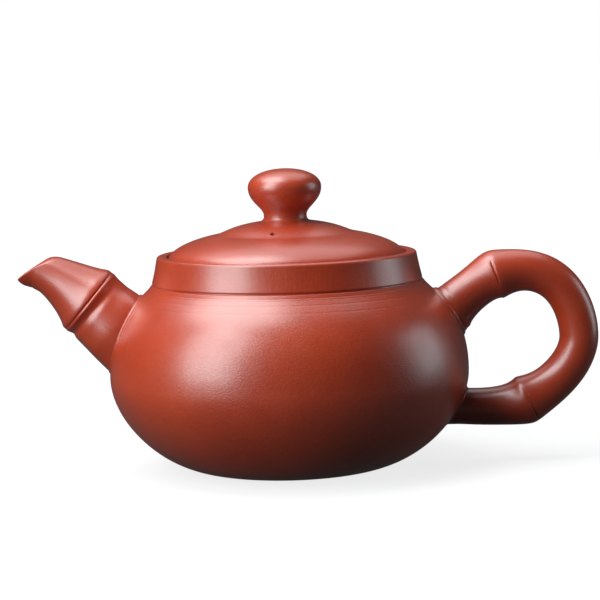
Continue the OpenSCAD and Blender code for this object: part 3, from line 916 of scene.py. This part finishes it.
def lid_curves(lid):
    """Outline curves of the lid: its shoulder, its crown and its hollow."""
    edge_z = SEAT_Z + lid.edge
    step_z = PAD_Z - lid.crown
    shoulder = eased((LID_R, edge_z), (lid.step_r - LID_R, step_z - edge_z), (0, 0.31), (0.37, 0.76))
    crown = eased((lid.step_r, step_z), (PAD_R - lid.step_r, lid.crown), (0.18, 0.09), (0.34, 0.69))
    hollow_r = FLANGE_R - lid.flange_wall
    hollow_z = step_z - lid.wall - (step_z - edge_z) / 3
    hollow = eased((hollow_r, hollow_z), (-hollow_r, PAD_Z - lid.wall - hollow_z), (0.19, 0.42), (0.5, 0.97))
    return shoulder, crown, hollow


def lid_piece(lid, pot):
    """Domed lid with its upright edge, its low step and its air hole."""
    shoulder, crown, hollow = lid_curves(lid)
    seat_in = (FLANGE_R - lid.flange_wall, SEAT_Z)
    seat_out = (LID_R, SEAT_Z)
    edge = tuple(shoulder[0])
    outline = [seat_in] + straight(seat_in, seat_out) + corner(seat_in, seat_out, edge, 0.4 * MM, 5)
    outline += [(LID_R, SEAT_Z + 0.8 * MM)] + curve_points(shoulder, even(60))
    outline += curve_points(crown, even(40)[1:]) + [(PAD_R * 0.7, PAD_Z), (0, PAD_Z)]
    outline += curve_points(hollow, [1 - t for t in even(40)])
    outline += straight(tuple(hollow[0]), seat_in, 4)
    obj = closed_on_axis("lid_clay", outline, pot.segments)
    centre = toward(lid.hole_turn, lid.hole_out)
    return drilled(obj, (centre.x, centre.y, PAD_Z), (0, 0, 1), lid.hole_r, 30 * MM)


def closed_on_axis(name, outline, segments):
    """Turned piece whose outline touches the axis twice in the middle of its list."""
    last = max(i for i, p in enumerate(outline) if p[0] < ON_AXIS)
    first = min(i for i, p in enumerate(outline) if p[0] < ON_AXIS)
    return turned(name, outline[last:] + outline[:first + 1], segments)


def flange_piece(lid, pot):
    """Ring under the lid that drops into the mouth."""
    inside = FLANGE_R - lid.flange_wall
    corners = [(inside, SEAT_Z), (inside, FLANGE_Z), (FLANGE_R, FLANGE_Z), (FLANGE_R, SEAT_Z)]
    outline = [corners[0]] + straight(corners[0], corners[1])[:-1]
    outline += corner(corners[0], corners[1], corners[2], 0.7 * MM, 5)
    outline += corner(corners[1], corners[2], corners[3], 0.7 * MM, 5)
    outline += straight(corners[2], corners[3])[2:] + [corners[3]] + straight(corners[3], corners[0])
    return turned("flange_clay", outline, pot.segments)


def knob_piece(lid, pot):
    """Mushroom knob of the lid."""
    height = KNOB_TOP - PAD_Z
    neck_z, wide_z = PAD_Z + 0.12 * height, PAD_Z + 0.645 * height
    cup = eased((lid.neck_r, neck_z), (KNOB_R - lid.neck_r, wide_z - neck_z), (0, 0.27), (1, 0.48))
    dome = eased((KNOB_R, wide_z), (-KNOB_R, KNOB_TOP - wide_z), (0, 0.6), (0.42, 1))
    outline = [(0, PAD_Z), (lid.neck_r, PAD_Z)] + straight((lid.neck_r, PAD_Z), (lid.neck_r, neck_z), 3)
    outline += curve_points(cup, even(40)) + curve_points(dome, even(48)[1:-1]) + [(0, KNOB_TOP)]
    return turned("knob_clay", outline, pot.segments // 2)


def coil_piece(lid, pot):
    """Thin coil pressed round the foot of the knob into a hollow fillet."""
    width = PAD_R - lid.neck_r
    rise = COIL_TOP - PAD_Z
    start, end = Vector((PAD_R + 0.2 * MM, PAD_Z - 0.05 * MM)), Vector((lid.neck_r - 0.05 * MM, COIL_TOP))
    curve = [start, start + Vector((-0.62 * width, 0.05 * MM)), end + Vector((0, -0.62 * rise)), end]
    outline = curve_points(curve, steps(0, 1, 14)) + [(lid.neck_r - 0.4 * MM, PAD_Z - 0.05 * MM)]
    return turned("coil_clay", outline, pot.segments // 2)


# ---- Nodes ----


def node(tree, kind, inputs=None, **settings):
    """Adds a node. An input is a value, or an output socket that is linked to it."""
    made = tree.nodes.new(kind)
    for key, value in settings.items():
        setattr(made, key, value)
    for key, value in (inputs or {}).items():
        if isinstance(value, bpy.types.NodeSocket):
            tree.links.new(value, made.inputs[key])
        else:
            made.inputs[key].default_value = value
    return made


def empty_tree(owner):
    """Node tree of a material or a world, without its nodes."""
    owner.use_nodes = True
    owner.node_tree.nodes.clear()
    return owner.node_tree


# ---- Strainer ----


class Strainer:
    """Pierced dome over the hole behind the spout, in its own frame: Z is the dome's axis, into the pot."""

    def __init__(self, spout, profile, sizes):
        x, z, heading = spout.roll.centre(0.0)
        self.axis = Vector((-math.cos(heading), 0, -math.sin(heading)))
        self.inner_r = spout.channel_r
        self.outer_r = self.inner_r + sizes.wall
        self.turn = math.atan2(self.axis.x, self.axis.z)
        self.centre = Vector((x, 0, z)) + self.axis * WALL
        self.inside = profile.holds(WALL * 1.02)

    def point(self, radius, phi, run):
        """Point of the dome at a run from its pole, and down its skirt past a quarter turn."""
        quarter = radius * math.pi / 2
        tilt = min(run, quarter) / radius
        local = Vector((
            radius * math.sin(tilt) * math.cos(phi),
            radius * math.sin(tilt) * math.sin(phi),
            radius * math.cos(tilt) - max(run - quarter, 0),
        ))
        return self.centre + Matrix.Rotation(self.turn, 3, "Y") @ local

    def edge(self, radius, phi):
        """Run at which the dome meets the wall of the pot."""
        far = radius * math.pi / 2 + 8 * MM
        return boundary(lambda run: self.inside(self.point(radius, phi, run)), 0.0, far)

    def plain_dome(self):
        """The dome before it is pierced."""
        phis = round_turns(72)
        down = even(24)[1:]
        rings = []
        for radius, shares in ((self.outer_r, down), (self.inner_r, down[::-1])):
            runs = [self.edge(radius, phi) for phi in phis]
            rings += [[self.point(radius, phi, run * k) for phi, run in zip(phis, runs)] for k in shares]
        poles = [[self.point(self.outer_r, 0, 0)], [self.point(self.inner_r, 0, 0)]]
        return piece_from_rings("strainer_clay", [poles[0]] + rings + [poles[1]], closed=False)


def piercing_tree(material):
    """Geometry nodes that pierce a dome with one hole at its pole and two rings of holes round it."""
    tree = bpy.data.node_groups.new("Pierced dome", "GeometryNodeTree")
    face = tree.interface
    face.new_socket("Dome", in_out="INPUT", socket_type="NodeSocketGeometry")
    for name, kind in (
        ("Hole diameter", "NodeSocketFloat"),
        ("Dome radius", "NodeSocketFloat"),
        ("Ring spacing", "NodeSocketFloat"),
        ("Inner ring", "NodeSocketInt"),
        ("Outer ring", "NodeSocketInt"),
        ("Dome centre", "NodeSocketVector"),
        ("Dome turn", "NodeSocketVector"),
    ):
        face.new_socket(name, in_out="INPUT", socket_type=kind)
    face.new_socket("Pierced dome", in_out="OUTPUT", socket_type="NodeSocketGeometry")
    given = node(tree, "NodeGroupInput").outputs
    rings = []
    for k, count in ((1, "Inner ring"), (2, "Outer ring")):
        tilt = node(tree, "ShaderNodeMath", {0: given["Ring spacing"], 1: float(k)}, operation="MULTIPLY").outputs[0]
        out = node(tree, "ShaderNodeMath", {0: tilt}, operation="SINE").outputs[0]
        up = node(tree, "ShaderNodeMath", {0: tilt}, operation="COSINE").outputs[0]
        height = node(tree, "ShaderNodeCombineXYZ", {"Z": up}).outputs[0]
        circle = node(tree, "GeometryNodeMeshCircle", {"Vertices": given[count], "Radius": out}).outputs[0]
        rings.append(node(tree, "GeometryNodeTransform", {
            "Geometry": circle, "Translation": height, "Rotation": (0, 0, OFF_GRID),
        }).outputs[0])
    pole = node(tree, "GeometryNodePoints", {"Count": 1, "Position": (0, 0, 1)}).outputs[0]
    marks = node(tree, "GeometryNodeJoinGeometry")
    for geometry in rings + [pole]:
        tree.links.new(geometry, marks.inputs[0])
    place = node(tree, "GeometryNodeInputPosition").outputs[0]
    aim = node(tree, "FunctionNodeAlignRotationToVector", {"Vector": place}, axis="Z").outputs[0]
    radius = node(tree, "ShaderNodeMath", {0: given["Hole diameter"], 1: 0.5}, operation="MULTIPLY").outputs[0]
    rod = node(tree, "GeometryNodeMeshCylinder", {
        "Vertices": 28, "Radius": radius, "Depth": given["Dome radius"],
    }).outputs[0]
    drill = node(tree, "GeometryNodeTransform", {"Geometry": rod, "Rotation": (0, 0, OFF_GRID)}).outputs[0]
    sized = node(tree, "ShaderNodeVectorMath", {0: place, "Scale": given["Dome radius"]}, operation="SCALE").outputs[0]
    spread = node(tree, "GeometryNodeSetPosition", {"Geometry": marks.outputs[0], "Position": sized}).outputs[0]
    drills = node(tree, "GeometryNodeInstanceOnPoints", {
        "Points": spread, "Instance": drill, "Rotation": aim,
    }).outputs[0]
    solid = node(tree, "GeometryNodeRealizeInstances", {"Geometry": drills}).outputs[0]
    placed = node(tree, "GeometryNodeTransform", {
        "Geometry": solid, "Translation": given["Dome centre"], "Rotation": given["Dome turn"],
    }).outputs[0]
    flat_faced = node(tree, "GeometryNodeTriangulate", {"Mesh": given["Dome"]}).outputs[0]
    cut = node(tree, "GeometryNodeMeshBoolean", {
        "Mesh 1": flat_faced, "Mesh 2": placed,
    }, operation="DIFFERENCE", solver="EXACT")
    real = node(tree, "GeometryNodeRealizeInstances", {"Geometry": cut.outputs[0]}).outputs[0]
    clay = node(tree, "GeometryNodeSetMaterial", {"Geometry": real, "Material": material}).outputs[0]
    node(tree, "NodeGroupOutput", {"Pierced dome": clay})
    return tree


# ---- Clay ----

UNBURNISHED = 0.28  # roughness that clay keeps where no tool has rubbed it


def clay_material(name, clay, throw=0.0, strokes=0.0, wrinkle=0.075, burnished=True):
    """Fired zhuni stoneware, a red clay rich in iron that shrinks as it fires.

    Burnished with a horn tool, its skin is smooth and half bright and wrinkles finely, so that highlights are soft
    and grainy. Throw, strokes and wrinkle are depths in millimetres: of the rings left by turning, of the slanting
    marks left by the tool and of the fine wrinkles.
    """
    material = bpy.data.materials.get(name)
    if material:
        return material
    material = bpy.data.materials.new(name)
    tree = empty_tree(material)
    at = node(tree, "ShaderNodeTexCoord").outputs["Object"]

    # Patches of about 22 mm where the kiln's heat and air differed, and specks of 0.8 mm of iron and sand
    patches = node(tree, "ShaderNodeTexNoise", {"Vector": at, "Scale": 1 / (22 * MM), "Detail": 3.0, "Roughness": 0.6})
    ramp = node(tree, "ShaderNodeValToRGB", {"Fac": patches.outputs["Fac"]})
    tones = (clay.deep, clay.body, clay.warm) if burnished else (clay.deep, clay.dust, clay.dust)
    stops = ramp.color_ramp.elements
    stops[0].position, stops[1].position = 0.30, 0.72
    stops[0].color, stops[1].color = (*tones[0], 1), (*tones[2], 1)
    stops.new(0.50).color = (*tones[1], 1)
    specks = node(tree, "ShaderNodeTexNoise", {"Vector": at, "Scale": 1 / (0.8 * MM), "Detail": 2.0}).outputs["Fac"]
    shade = node(tree, "ShaderNodeMapRange", {
        "Value": specks, "From Min": 0.25, "From Max": 0.75, "To Min": 0.94, "To Max": 1.05,
    }).outputs[0]
    tone = node(tree, "ShaderNodeVectorMath", {0: ramp.outputs["Color"], "Scale": shade}, operation="SCALE").outputs[0]

    # Sheen that varies over patches of 5 mm, as the tool pressed more or less
    base = clay.roughness if burnished else clay.roughness + UNBURNISHED
    rubbed = node(tree, "ShaderNodeTexNoise", {"Vector": at, "Scale": 1 / (5 * MM), "Detail": 4.0}).outputs["Fac"]
    rough = node(tree, "ShaderNodeMapRange", {
        "Value": rubbed, "From Min": 0.3, "From Max": 0.7, "To Min": base - 0.05, "To Max": base + 0.07,
    }).outputs[0]

    # Reliefs, each as height and depth, from the lowest to the uppermost. The first is a soft unevenness of 4 mm
    hollows = node(tree, "ShaderNodeTexNoise", {"Vector": at, "Scale": 1 / (4 * MM), "Detail": 2.0}).outputs["Fac"]
    reliefs = [(hollows, 0.05)]
    if throw:
        # Rings of turning about 1 mm apart, each running on for about 40 mm
        flat = node(tree, "ShaderNodeVectorMath", {0: at, 1: (1, 1, 0)}, operation="MULTIPLY").outputs[0]
        out = node(tree, "ShaderNodeVectorMath", {0: flat}, operation="LENGTH").outputs["Value"]
        split = node(tree, "ShaderNodeSeparateXYZ", {"Vector": at}).outputs
        rings_at = node(tree, "ShaderNodeCombineXYZ", {"X": out, "Y": split["Z"], "Z": split["X"]}).outputs[0]
        drawn = node(tree, "ShaderNodeVectorMath", {0: rings_at, 1: (900, 900, 25)}, operation="MULTIPLY").outputs[0]
        lines = node(tree, "ShaderNodeTexNoise", {"Vector": drawn, "Scale": 1.0, "Detail": 2.0}).outputs["Fac"]
        reliefs.append((lines, throw))
    if strokes:
        # Slanting strokes of the tool, about 0.5 mm wide and 7 mm long
        slant = node(tree, "ShaderNodeMapping", {
            "Vector": at, "Rotation": (0.5, math.radians(38), 0.3), "Scale": (2200, 500, 140),
        }).outputs[0]
        marks = node(tree, "ShaderNodeTexNoise", {
            "Vector": slant, "Scale": 1.0, "Detail": 3.0, "Distortion": 0.6,
        }).outputs["Fac"]
        reliefs.append((marks, strokes))
    # Fine wrinkles, a little flattened
    flattened = node(tree, "ShaderNodeVectorMath", {0: at, 1: (1, 1, 1.8)}, operation="MULTIPLY").outputs[0]
    grain = node(tree, "ShaderNodeTexNoise", {
        "Vector": flattened, "Scale": 1 / clay.grain, "Detail": 2.0, "Roughness": 0.55,
    }).outputs["Fac"]
    reliefs.append((grain, wrinkle))
    facing = {}
    for height, depth in reliefs:
        bump = node(tree, "ShaderNodeBump", {"Height": height, "Strength": 1.0, "Distance": depth * MM, **facing})
        facing = {"Normal": bump.outputs[0]}

    skin = {"Coat Weight": 1.0, "Coat Roughness": 0.30, "Coat IOR": 1.58} if burnished else {}
    surface = node(tree, "ShaderNodeBsdfPrincipled", {
        "Base Color": tone, "Roughness": rough, "IOR": 1.5, **facing, **skin,
    })
    node(tree, "ShaderNodeOutputMaterial", {"Surface": surface.outputs[0]})
    return material


def turned_clay(clay):
    """Burnished clay of the pieces that were turned."""
    return clay_material("burnished_zhuni_stoneware_turned", clay, throw=0.012)


def collar_clay(clay):
    """Burnished clay of the collar, rubbed with slanting strokes."""
    return clay_material("burnished_zhuni_stoneware_stroked", clay, throw=0.010, strokes=0.055)


def rolled_clay(clay):
    """Burnished clay of the spout and the handle, rolled and shaped by hand."""
    return clay_material("burnished_zhuni_stoneware_rolled", clay, wrinkle=0.045)


def bare_clay(clay):
    """Clay left as the fingers and the sponge left it, dull and a little sandy."""
    return clay_material("unburnished_zhuni_stoneware", clay, throw=0.03, burnished=False)


# ---- Stage ----

FLOOR_HALF = 4.0
FLOOR_GAP = 0.03 * MM  # below the standing ring, which would flicker against a floor at its own height
LAMPS_AIM = Vector((0, 0, 0.035))
# Setting that holds the power, then name, size, place and tint
LAMPS = (
    ("key", "key_softbox", (0.50, 0.80), (-0.57, -0.44, 0.385), (0.93, 0.985, 1.0)),
    ("top", "top_softbox", (0.58, 0.50), (-0.27, -0.04, 0.74), (0.95, 0.99, 1.0)),
    ("ceiling", "ceiling_panel", (1.00, 0.80), (-0.05, 0.25, 0.80), (0.97, 0.99, 1.0)),
    ("rim", "edge_softbox", (0.30, 0.44), (0.63, 0.08, 0.14), (0.90, 0.95, 1.0)),
)


def floor_material(sheen):
    """Pale paper floor. A soft shadow stays on it, and it fades to white away from the pot."""
    material = bpy.data.materials.new("white_paper_sweep")
    tree = empty_tree(material)
    at = node(tree, "ShaderNodeTexCoord").outputs["Object"]
    out = node(tree, "ShaderNodeVectorMath", {0: at}, operation="LENGTH").outputs["Value"]
    glow = node(tree, "ShaderNodeMapRange", {
        "Value": out, "From Min": 0.12, "From Max": 0.9, "To Min": 0.80, "To Max": 1.0,
    }).outputs[0]
    fibre = node(tree, "ShaderNodeTexNoise", {"Vector": at, "Scale": 1 / (2.5 * MM), "Detail": 2.0}).outputs["Fac"]
    tone = node(tree, "ShaderNodeMapRange", {"Value": fibre, "To Min": 0.20, "To Max": 0.22}).outputs[0]
    paper = node(tree, "ShaderNodeBsdfDiffuse", {"Color": tone})
    bright = node(tree, "ShaderNodeEmission", {"Color": (1, 1, 1, 1), "Strength": glow})
    seen = node(tree, "ShaderNodeAddShader", {0: paper.outputs[0], 1: bright.outputs[0]})
    dim = node(tree, "ShaderNodeBsdfDiffuse", {"Color": (0.03, 0.03, 0.03, 1)})
    pick = node(tree, "ShaderNodeMixShader", {0: background_share(tree, sheen), 1: dim.outputs[0], 2: seen.outputs[0]})
    node(tree, "ShaderNodeOutputMaterial", {"Surface": pick.outputs[0]})
    return material


def background_share(tree, sheen):
    """How much of the white background a ray shows: all of it straight or through glass, and a share in a sheen.

    Clay has a soft sheen, and with all of the white in it the clay's dark side turns pale.
    """
    path = node(tree, "ShaderNodeLightPath").outputs
    mirrored = node(tree, "ShaderNodeMath", {0: path["Is Glossy Ray"], 1: sheen}, operation="MULTIPLY").outputs[0]
    clear = node(tree, "ShaderNodeMath", {
        0: path["Is Camera Ray"], 1: path["Is Transmission Ray"],
    }, operation="MAXIMUM").outputs[0]
    return node(tree, "ShaderNodeMath", {0: clear, 1: mirrored}, operation="MAXIMUM").outputs[0]


def paper_world(strength, sheen):
    """White surroundings for rays that show the background, and a dim even light for the rest."""
    world = bpy.data.worlds.new("paper_surroundings")
    tree = empty_tree(world)
    dim = node(tree, "ShaderNodeBackground", {"Color": (0.95, 0.97, 1, 1), "Strength": strength})
    white = node(tree, "ShaderNodeBackground", {"Color": (1, 1, 1, 1), "Strength": 1.0})
    shown = background_share(tree, sheen)
    pick = node(tree, "ShaderNodeMixShader", {0: shown, 1: dim.outputs[0], 2: white.outputs[0]})
    node(tree, "ShaderNodeOutputWorld", {"Surface": pick.outputs[0]})
    return world


def softbox(name, watts, size, place, tint):
    """Rectangular soft lamp that looks at the pot."""
    lamp = bpy.data.lights.new(name, "AREA")
    lamp.shape = "RECTANGLE"
    lamp.size, lamp.size_y = size
    lamp.energy = watts
    lamp.color = tint
    obj = bpy.data.objects.new(name, lamp)
    bpy.context.scene.collection.objects.link(obj)
    obj.location = place
    obj.rotation_euler = (LAMPS_AIM - Vector(place)).to_track_quat("-Z", "Y").to_euler()


def stage_camera(studio):
    """Camera in front of the pot, looking down a little and turned slightly about its line of sight."""
    down, roll = studio.look_down, studio.roll
    forward = Vector((0, math.cos(down), -math.sin(down)))
    right = Vector((1, 0, 0))
    up = right.cross(forward)
    place = Vector((0, 0, studio.aim_z)) - forward * studio.distance
    aim = (forward + right * studio.aim_right + up * studio.aim_up).normalized()
    level = right * math.cos(roll) - up * math.sin(roll)
    level = (level - aim * level.dot(aim)).normalized()
    above = level.cross(aim)
    camera = bpy.data.cameras.new("studio_camera")
    camera.lens = studio.focal
    camera.sensor_width = 36
    camera.clip_start = 0.01
    obj = bpy.data.objects.new("studio_camera", camera)
    bpy.context.scene.collection.objects.link(obj)
    turn_in_place = Matrix((level, above, -aim)).transposed().to_4x4()
    obj.matrix_world = Matrix.Translation(place) @ turn_in_place
    bpy.context.scene.camera = obj


# ---- Operators ----


def settings():
    """The scene's teapot settings."""
    return bpy.context.scene.teapot


class TEAPOT_OT_body(bpy.types.Operator):
    """Turns the base, the belly, the shoulder, the collar and the lid's seat."""

    bl_idname = "teapot.body"
    bl_label = "Pot body"

    def execute(self, _context):
        s = settings()
        pot, profile = s.pot, PotProfile(s.pot)
        bright, collar, bare = turned_clay(s.clay), collar_clay(s.clay), bare_clay(s.clay)
        fitted(base_piece(pot), "base_disc", "pot", "unburnished_clay", bare)
        belly = fitted(belly_piece(pot, profile), "belly_wall", "pot", "burnished_clay", bright, bare)
        form = SpoutForm(s.spout, profile)
        x, z, heading = form.roll.centre(0.0)
        drilled(belly, (x, 0, z), (math.cos(heading), 0, math.sin(heading)), form.channel_r, 24 * MM)
        shoulder = fitted(shoulder_piece(pot, profile), "shoulder_disc", "pot", "burnished_clay", bright, bare)
        for piece in (belly, shoulder):
            inner_faces(piece, lambda c: math.hypot(c.x, c.y) < profile.radius(c.z) - 0.5 * MM)
        fitted(collar_piece(pot), "collar_ring", "pot", "burnished_clay", collar)
        fitted(seat_piece(pot), "lid_seat_ring", "pot", "unburnished_clay", bare)
        return {"FINISHED"}


class TEAPOT_OT_spout(bpy.types.Operator):
    """Shapes the two bamboo lengths of the spout, the ring between them and its seam."""

    bl_idname = "teapot.spout"
    bl_label = "Spout"

    def execute(self, _context):
        s = settings()
        form = SpoutForm(s.spout, PotProfile(s.pot))
        rolled = rolled_clay(s.clay)
        fitted(spout_root_piece(form), "spout_root", "pot", "burnished_clay", rolled)
        fitted(spout_ring_piece(form), "spout_joint_ring", "pot", "tooled_clay", rolled)
        fitted(spout_tip_piece(form), "spout_tip", "pot", "burnished_clay", rolled)
        seam = seam_piece("spout_seam_clay", form, form.roots(form.outer, 0.0), 1, s.spout.seam_w)
        fitted(seam, "spout_seam", "pot", "tooled_clay", rolled)
        return {"FINISHED"}


class TEAPOT_OT_strainer(bpy.types.Operator):
    """Raises the dome behind the spout and pierces it."""

    bl_idname = "teapot.strainer"
    bl_label = "Strainer"

    def execute(self, _context):
        s = settings()
        profile = PotProfile(s.pot)
        bare = bare_clay(s.clay)
        strainer = Strainer(SpoutForm(s.spout, profile), profile, s.strainer)
        dome = strainer.plain_dome()
        tree = piercing_tree(bare)
        values = {
            "Hole diameter": s.strainer.hole_d,
            "Dome radius": strainer.outer_r,
            "Ring spacing": s.strainer.tilt,
            "Inner ring": s.strainer.inner_count,
            "Outer ring": s.strainer.outer_count,
            "Dome centre": strainer.centre,
            "Dome turn": (0.0, strainer.turn, 0.0),
        }
        modifier = dome.modifiers.new("Piercing", "NODES")
        modifier.node_group = tree
        for socket in tree.interface.items_tree:
            if socket.in_out == "INPUT" and socket.name in values:
                modifier[socket.identifier] = values[socket.name]
        baked(dome)
        dome.data.materials.clear()
        fitted(dome, "spout_strainer", "pot", "unburnished_clay", bare)
        return {"FINISHED"}


class TEAPOT_OT_handle(bpy.types.Operator):
    """Shapes the three bamboo lengths of the handle, its two rings and its two seams."""

    bl_idname = "teapot.handle"
    bl_label = "Handle"

    def execute(self, _context):
        s = settings()
        form = HandleForm(s.handle, PotProfile(s.pot))
        rolled = rolled_clay(s.clay)
        for name, piece in handle_pieces(form):
            slot = "tooled_clay" if name.endswith("joint") else "burnished_clay"
            fitted(piece, name, "pot", slot, rolled)
        for end, roots, outward in (("upper", form.upper_roots(0.0), 1), ("lower", form.lower_roots(0.0), -1)):
            seam = seam_piece(f"handle_{end}_seam_clay", form, roots, outward, s.handle.seam_w)
            fitted(seam, f"handle_{end}_seam", "pot", "tooled_clay", rolled)
        return {"FINISHED"}


class TEAPOT_OT_lid(bpy.types.Operator):
    """Turns the lid, its flange, its knob and the coil at the knob's foot."""

    bl_idname = "teapot.lid"
    bl_label = "Lid"

    def execute(self, _context):
        s = settings()
        bright, bare = turned_clay(s.clay), bare_clay(s.clay)
        plate = fitted(lid_piece(s.lid, s.pot), "lid_plate", "lid", "burnished_clay", bright, bare)
        radii, heights = zip(*reversed(curve_points(lid_curves(s.lid)[2], even(40))))
        inner_faces(plate, lambda c: c.z < np.interp(math.hypot(c.x, c.y), radii, heights) + 0.3 * MM
                    and math.hypot(c.x, c.y) < LID_R - 1 * MM)
        fitted(flange_piece(s.lid, s.pot), "lid_flange", "lid", "unburnished_clay", bare)
        fitted(knob_piece(s.lid, s.pot), "lid_knob", "lid", "burnished_clay", bright)
        fitted(coil_piece(s.lid, s.pot), "knob_foot_coil", "lid", "tooled_clay", bright)
        return {"FINISHED"}


class TEAPOT_OT_stage(bpy.types.Operator):
    """Lays the floor, hangs the lamps and places the camera."""

    bl_idname = "teapot.stage"
    bl_label = "Studio"

    def execute(self, _context):
        studio = settings().studio
        mesh = bpy.data.meshes.new("floor")
        corners = ((-1, -1), (1, -1), (1, 1), (-1, 1))
        mesh.from_pydata([(FLOOR_HALF * x, FLOOR_HALF * y, -FLOOR_GAP) for x, y in corners], [], [(0, 1, 2, 3)])
        mesh.materials.append(floor_material(studio.sheen))
        link("floor", mesh)
        bpy.context.scene.world = paper_world(studio.ambient, studio.sheen)
        for power, name, size, place, tint in LAMPS:
            softbox(name, getattr(studio, power), size, place, tint)
        stage_camera(studio)
        bpy.context.scene.view_settings.view_transform = "Standard"
        return {"FINISHED"}


class TEAPOT_PT_maker(bpy.types.Panel):
    """Lists the steps that build the teapot."""

    bl_label = "Teapot"
    bl_idname = "TEAPOT_PT_maker"
    bl_space_type = "VIEW_3D"
    bl_region_type = "UI"
    bl_category = "Teapot"

    def draw(self, context):
        teapot = context.scene.teapot
        for operator in OPERATORS:
            self.layout.operator(operator.bl_idname, text=operator.bl_label)
        for group in (teapot.pot, teapot.spout, teapot.strainer, teapot.handle, teapot.lid, teapot.clay, teapot.studio):
            box = self.layout.box()
            for name in group.bl_rna.properties.keys():
                if name not in ("rna_type", "name"):
                    box.prop(group, name)


class TeapotSettings(bpy.types.PropertyGroup):
    """All settings of the teapot."""

    pot: PointerProperty(type=TeapotPot)
    spout: PointerProperty(type=TeapotSpout)
    strainer: PointerProperty(type=TeapotStrainer)
    handle: PointerProperty(type=TeapotHandle)
    lid: PointerProperty(type=TeapotLid)
    clay: PointerProperty(type=TeapotClay)
    studio: PointerProperty(type=TeapotStudio)


GROUPS = (
    TeapotPot, TeapotSpout, TeapotStrainer, TeapotHandle, TeapotLid, TeapotClay, TeapotStudio, TeapotSettings,
)
OPERATORS = (
    TEAPOT_OT_body, TEAPOT_OT_spout, TEAPOT_OT_strainer, TEAPOT_OT_handle, TEAPOT_OT_lid, TEAPOT_OT_stage,
)


def register():
    """Registers the classes and the scene's settings."""
    for cls in GROUPS + OPERATORS + (TEAPOT_PT_maker,):
        bpy.utils.register_class(cls)
    bpy.types.Scene.teapot = PointerProperty(type=TeapotSettings)


def unregister():
    """Removes the classes and the scene's settings."""
    del bpy.types.Scene.teapot
    for cls in reversed(GROUPS + OPERATORS + (TEAPOT_PT_maker,)):
        bpy.utils.unregister_class(cls)


def main():
    """Builds the teapot and its studio."""
    register()
    bpy.ops.teapot.body()
    bpy.ops.teapot.spout()
    bpy.ops.teapot.strainer()
    bpy.ops.teapot.handle()
    bpy.ops.teapot.lid()
    bpy.ops.teapot.stage()


if __name__ == "__main__":
    main()
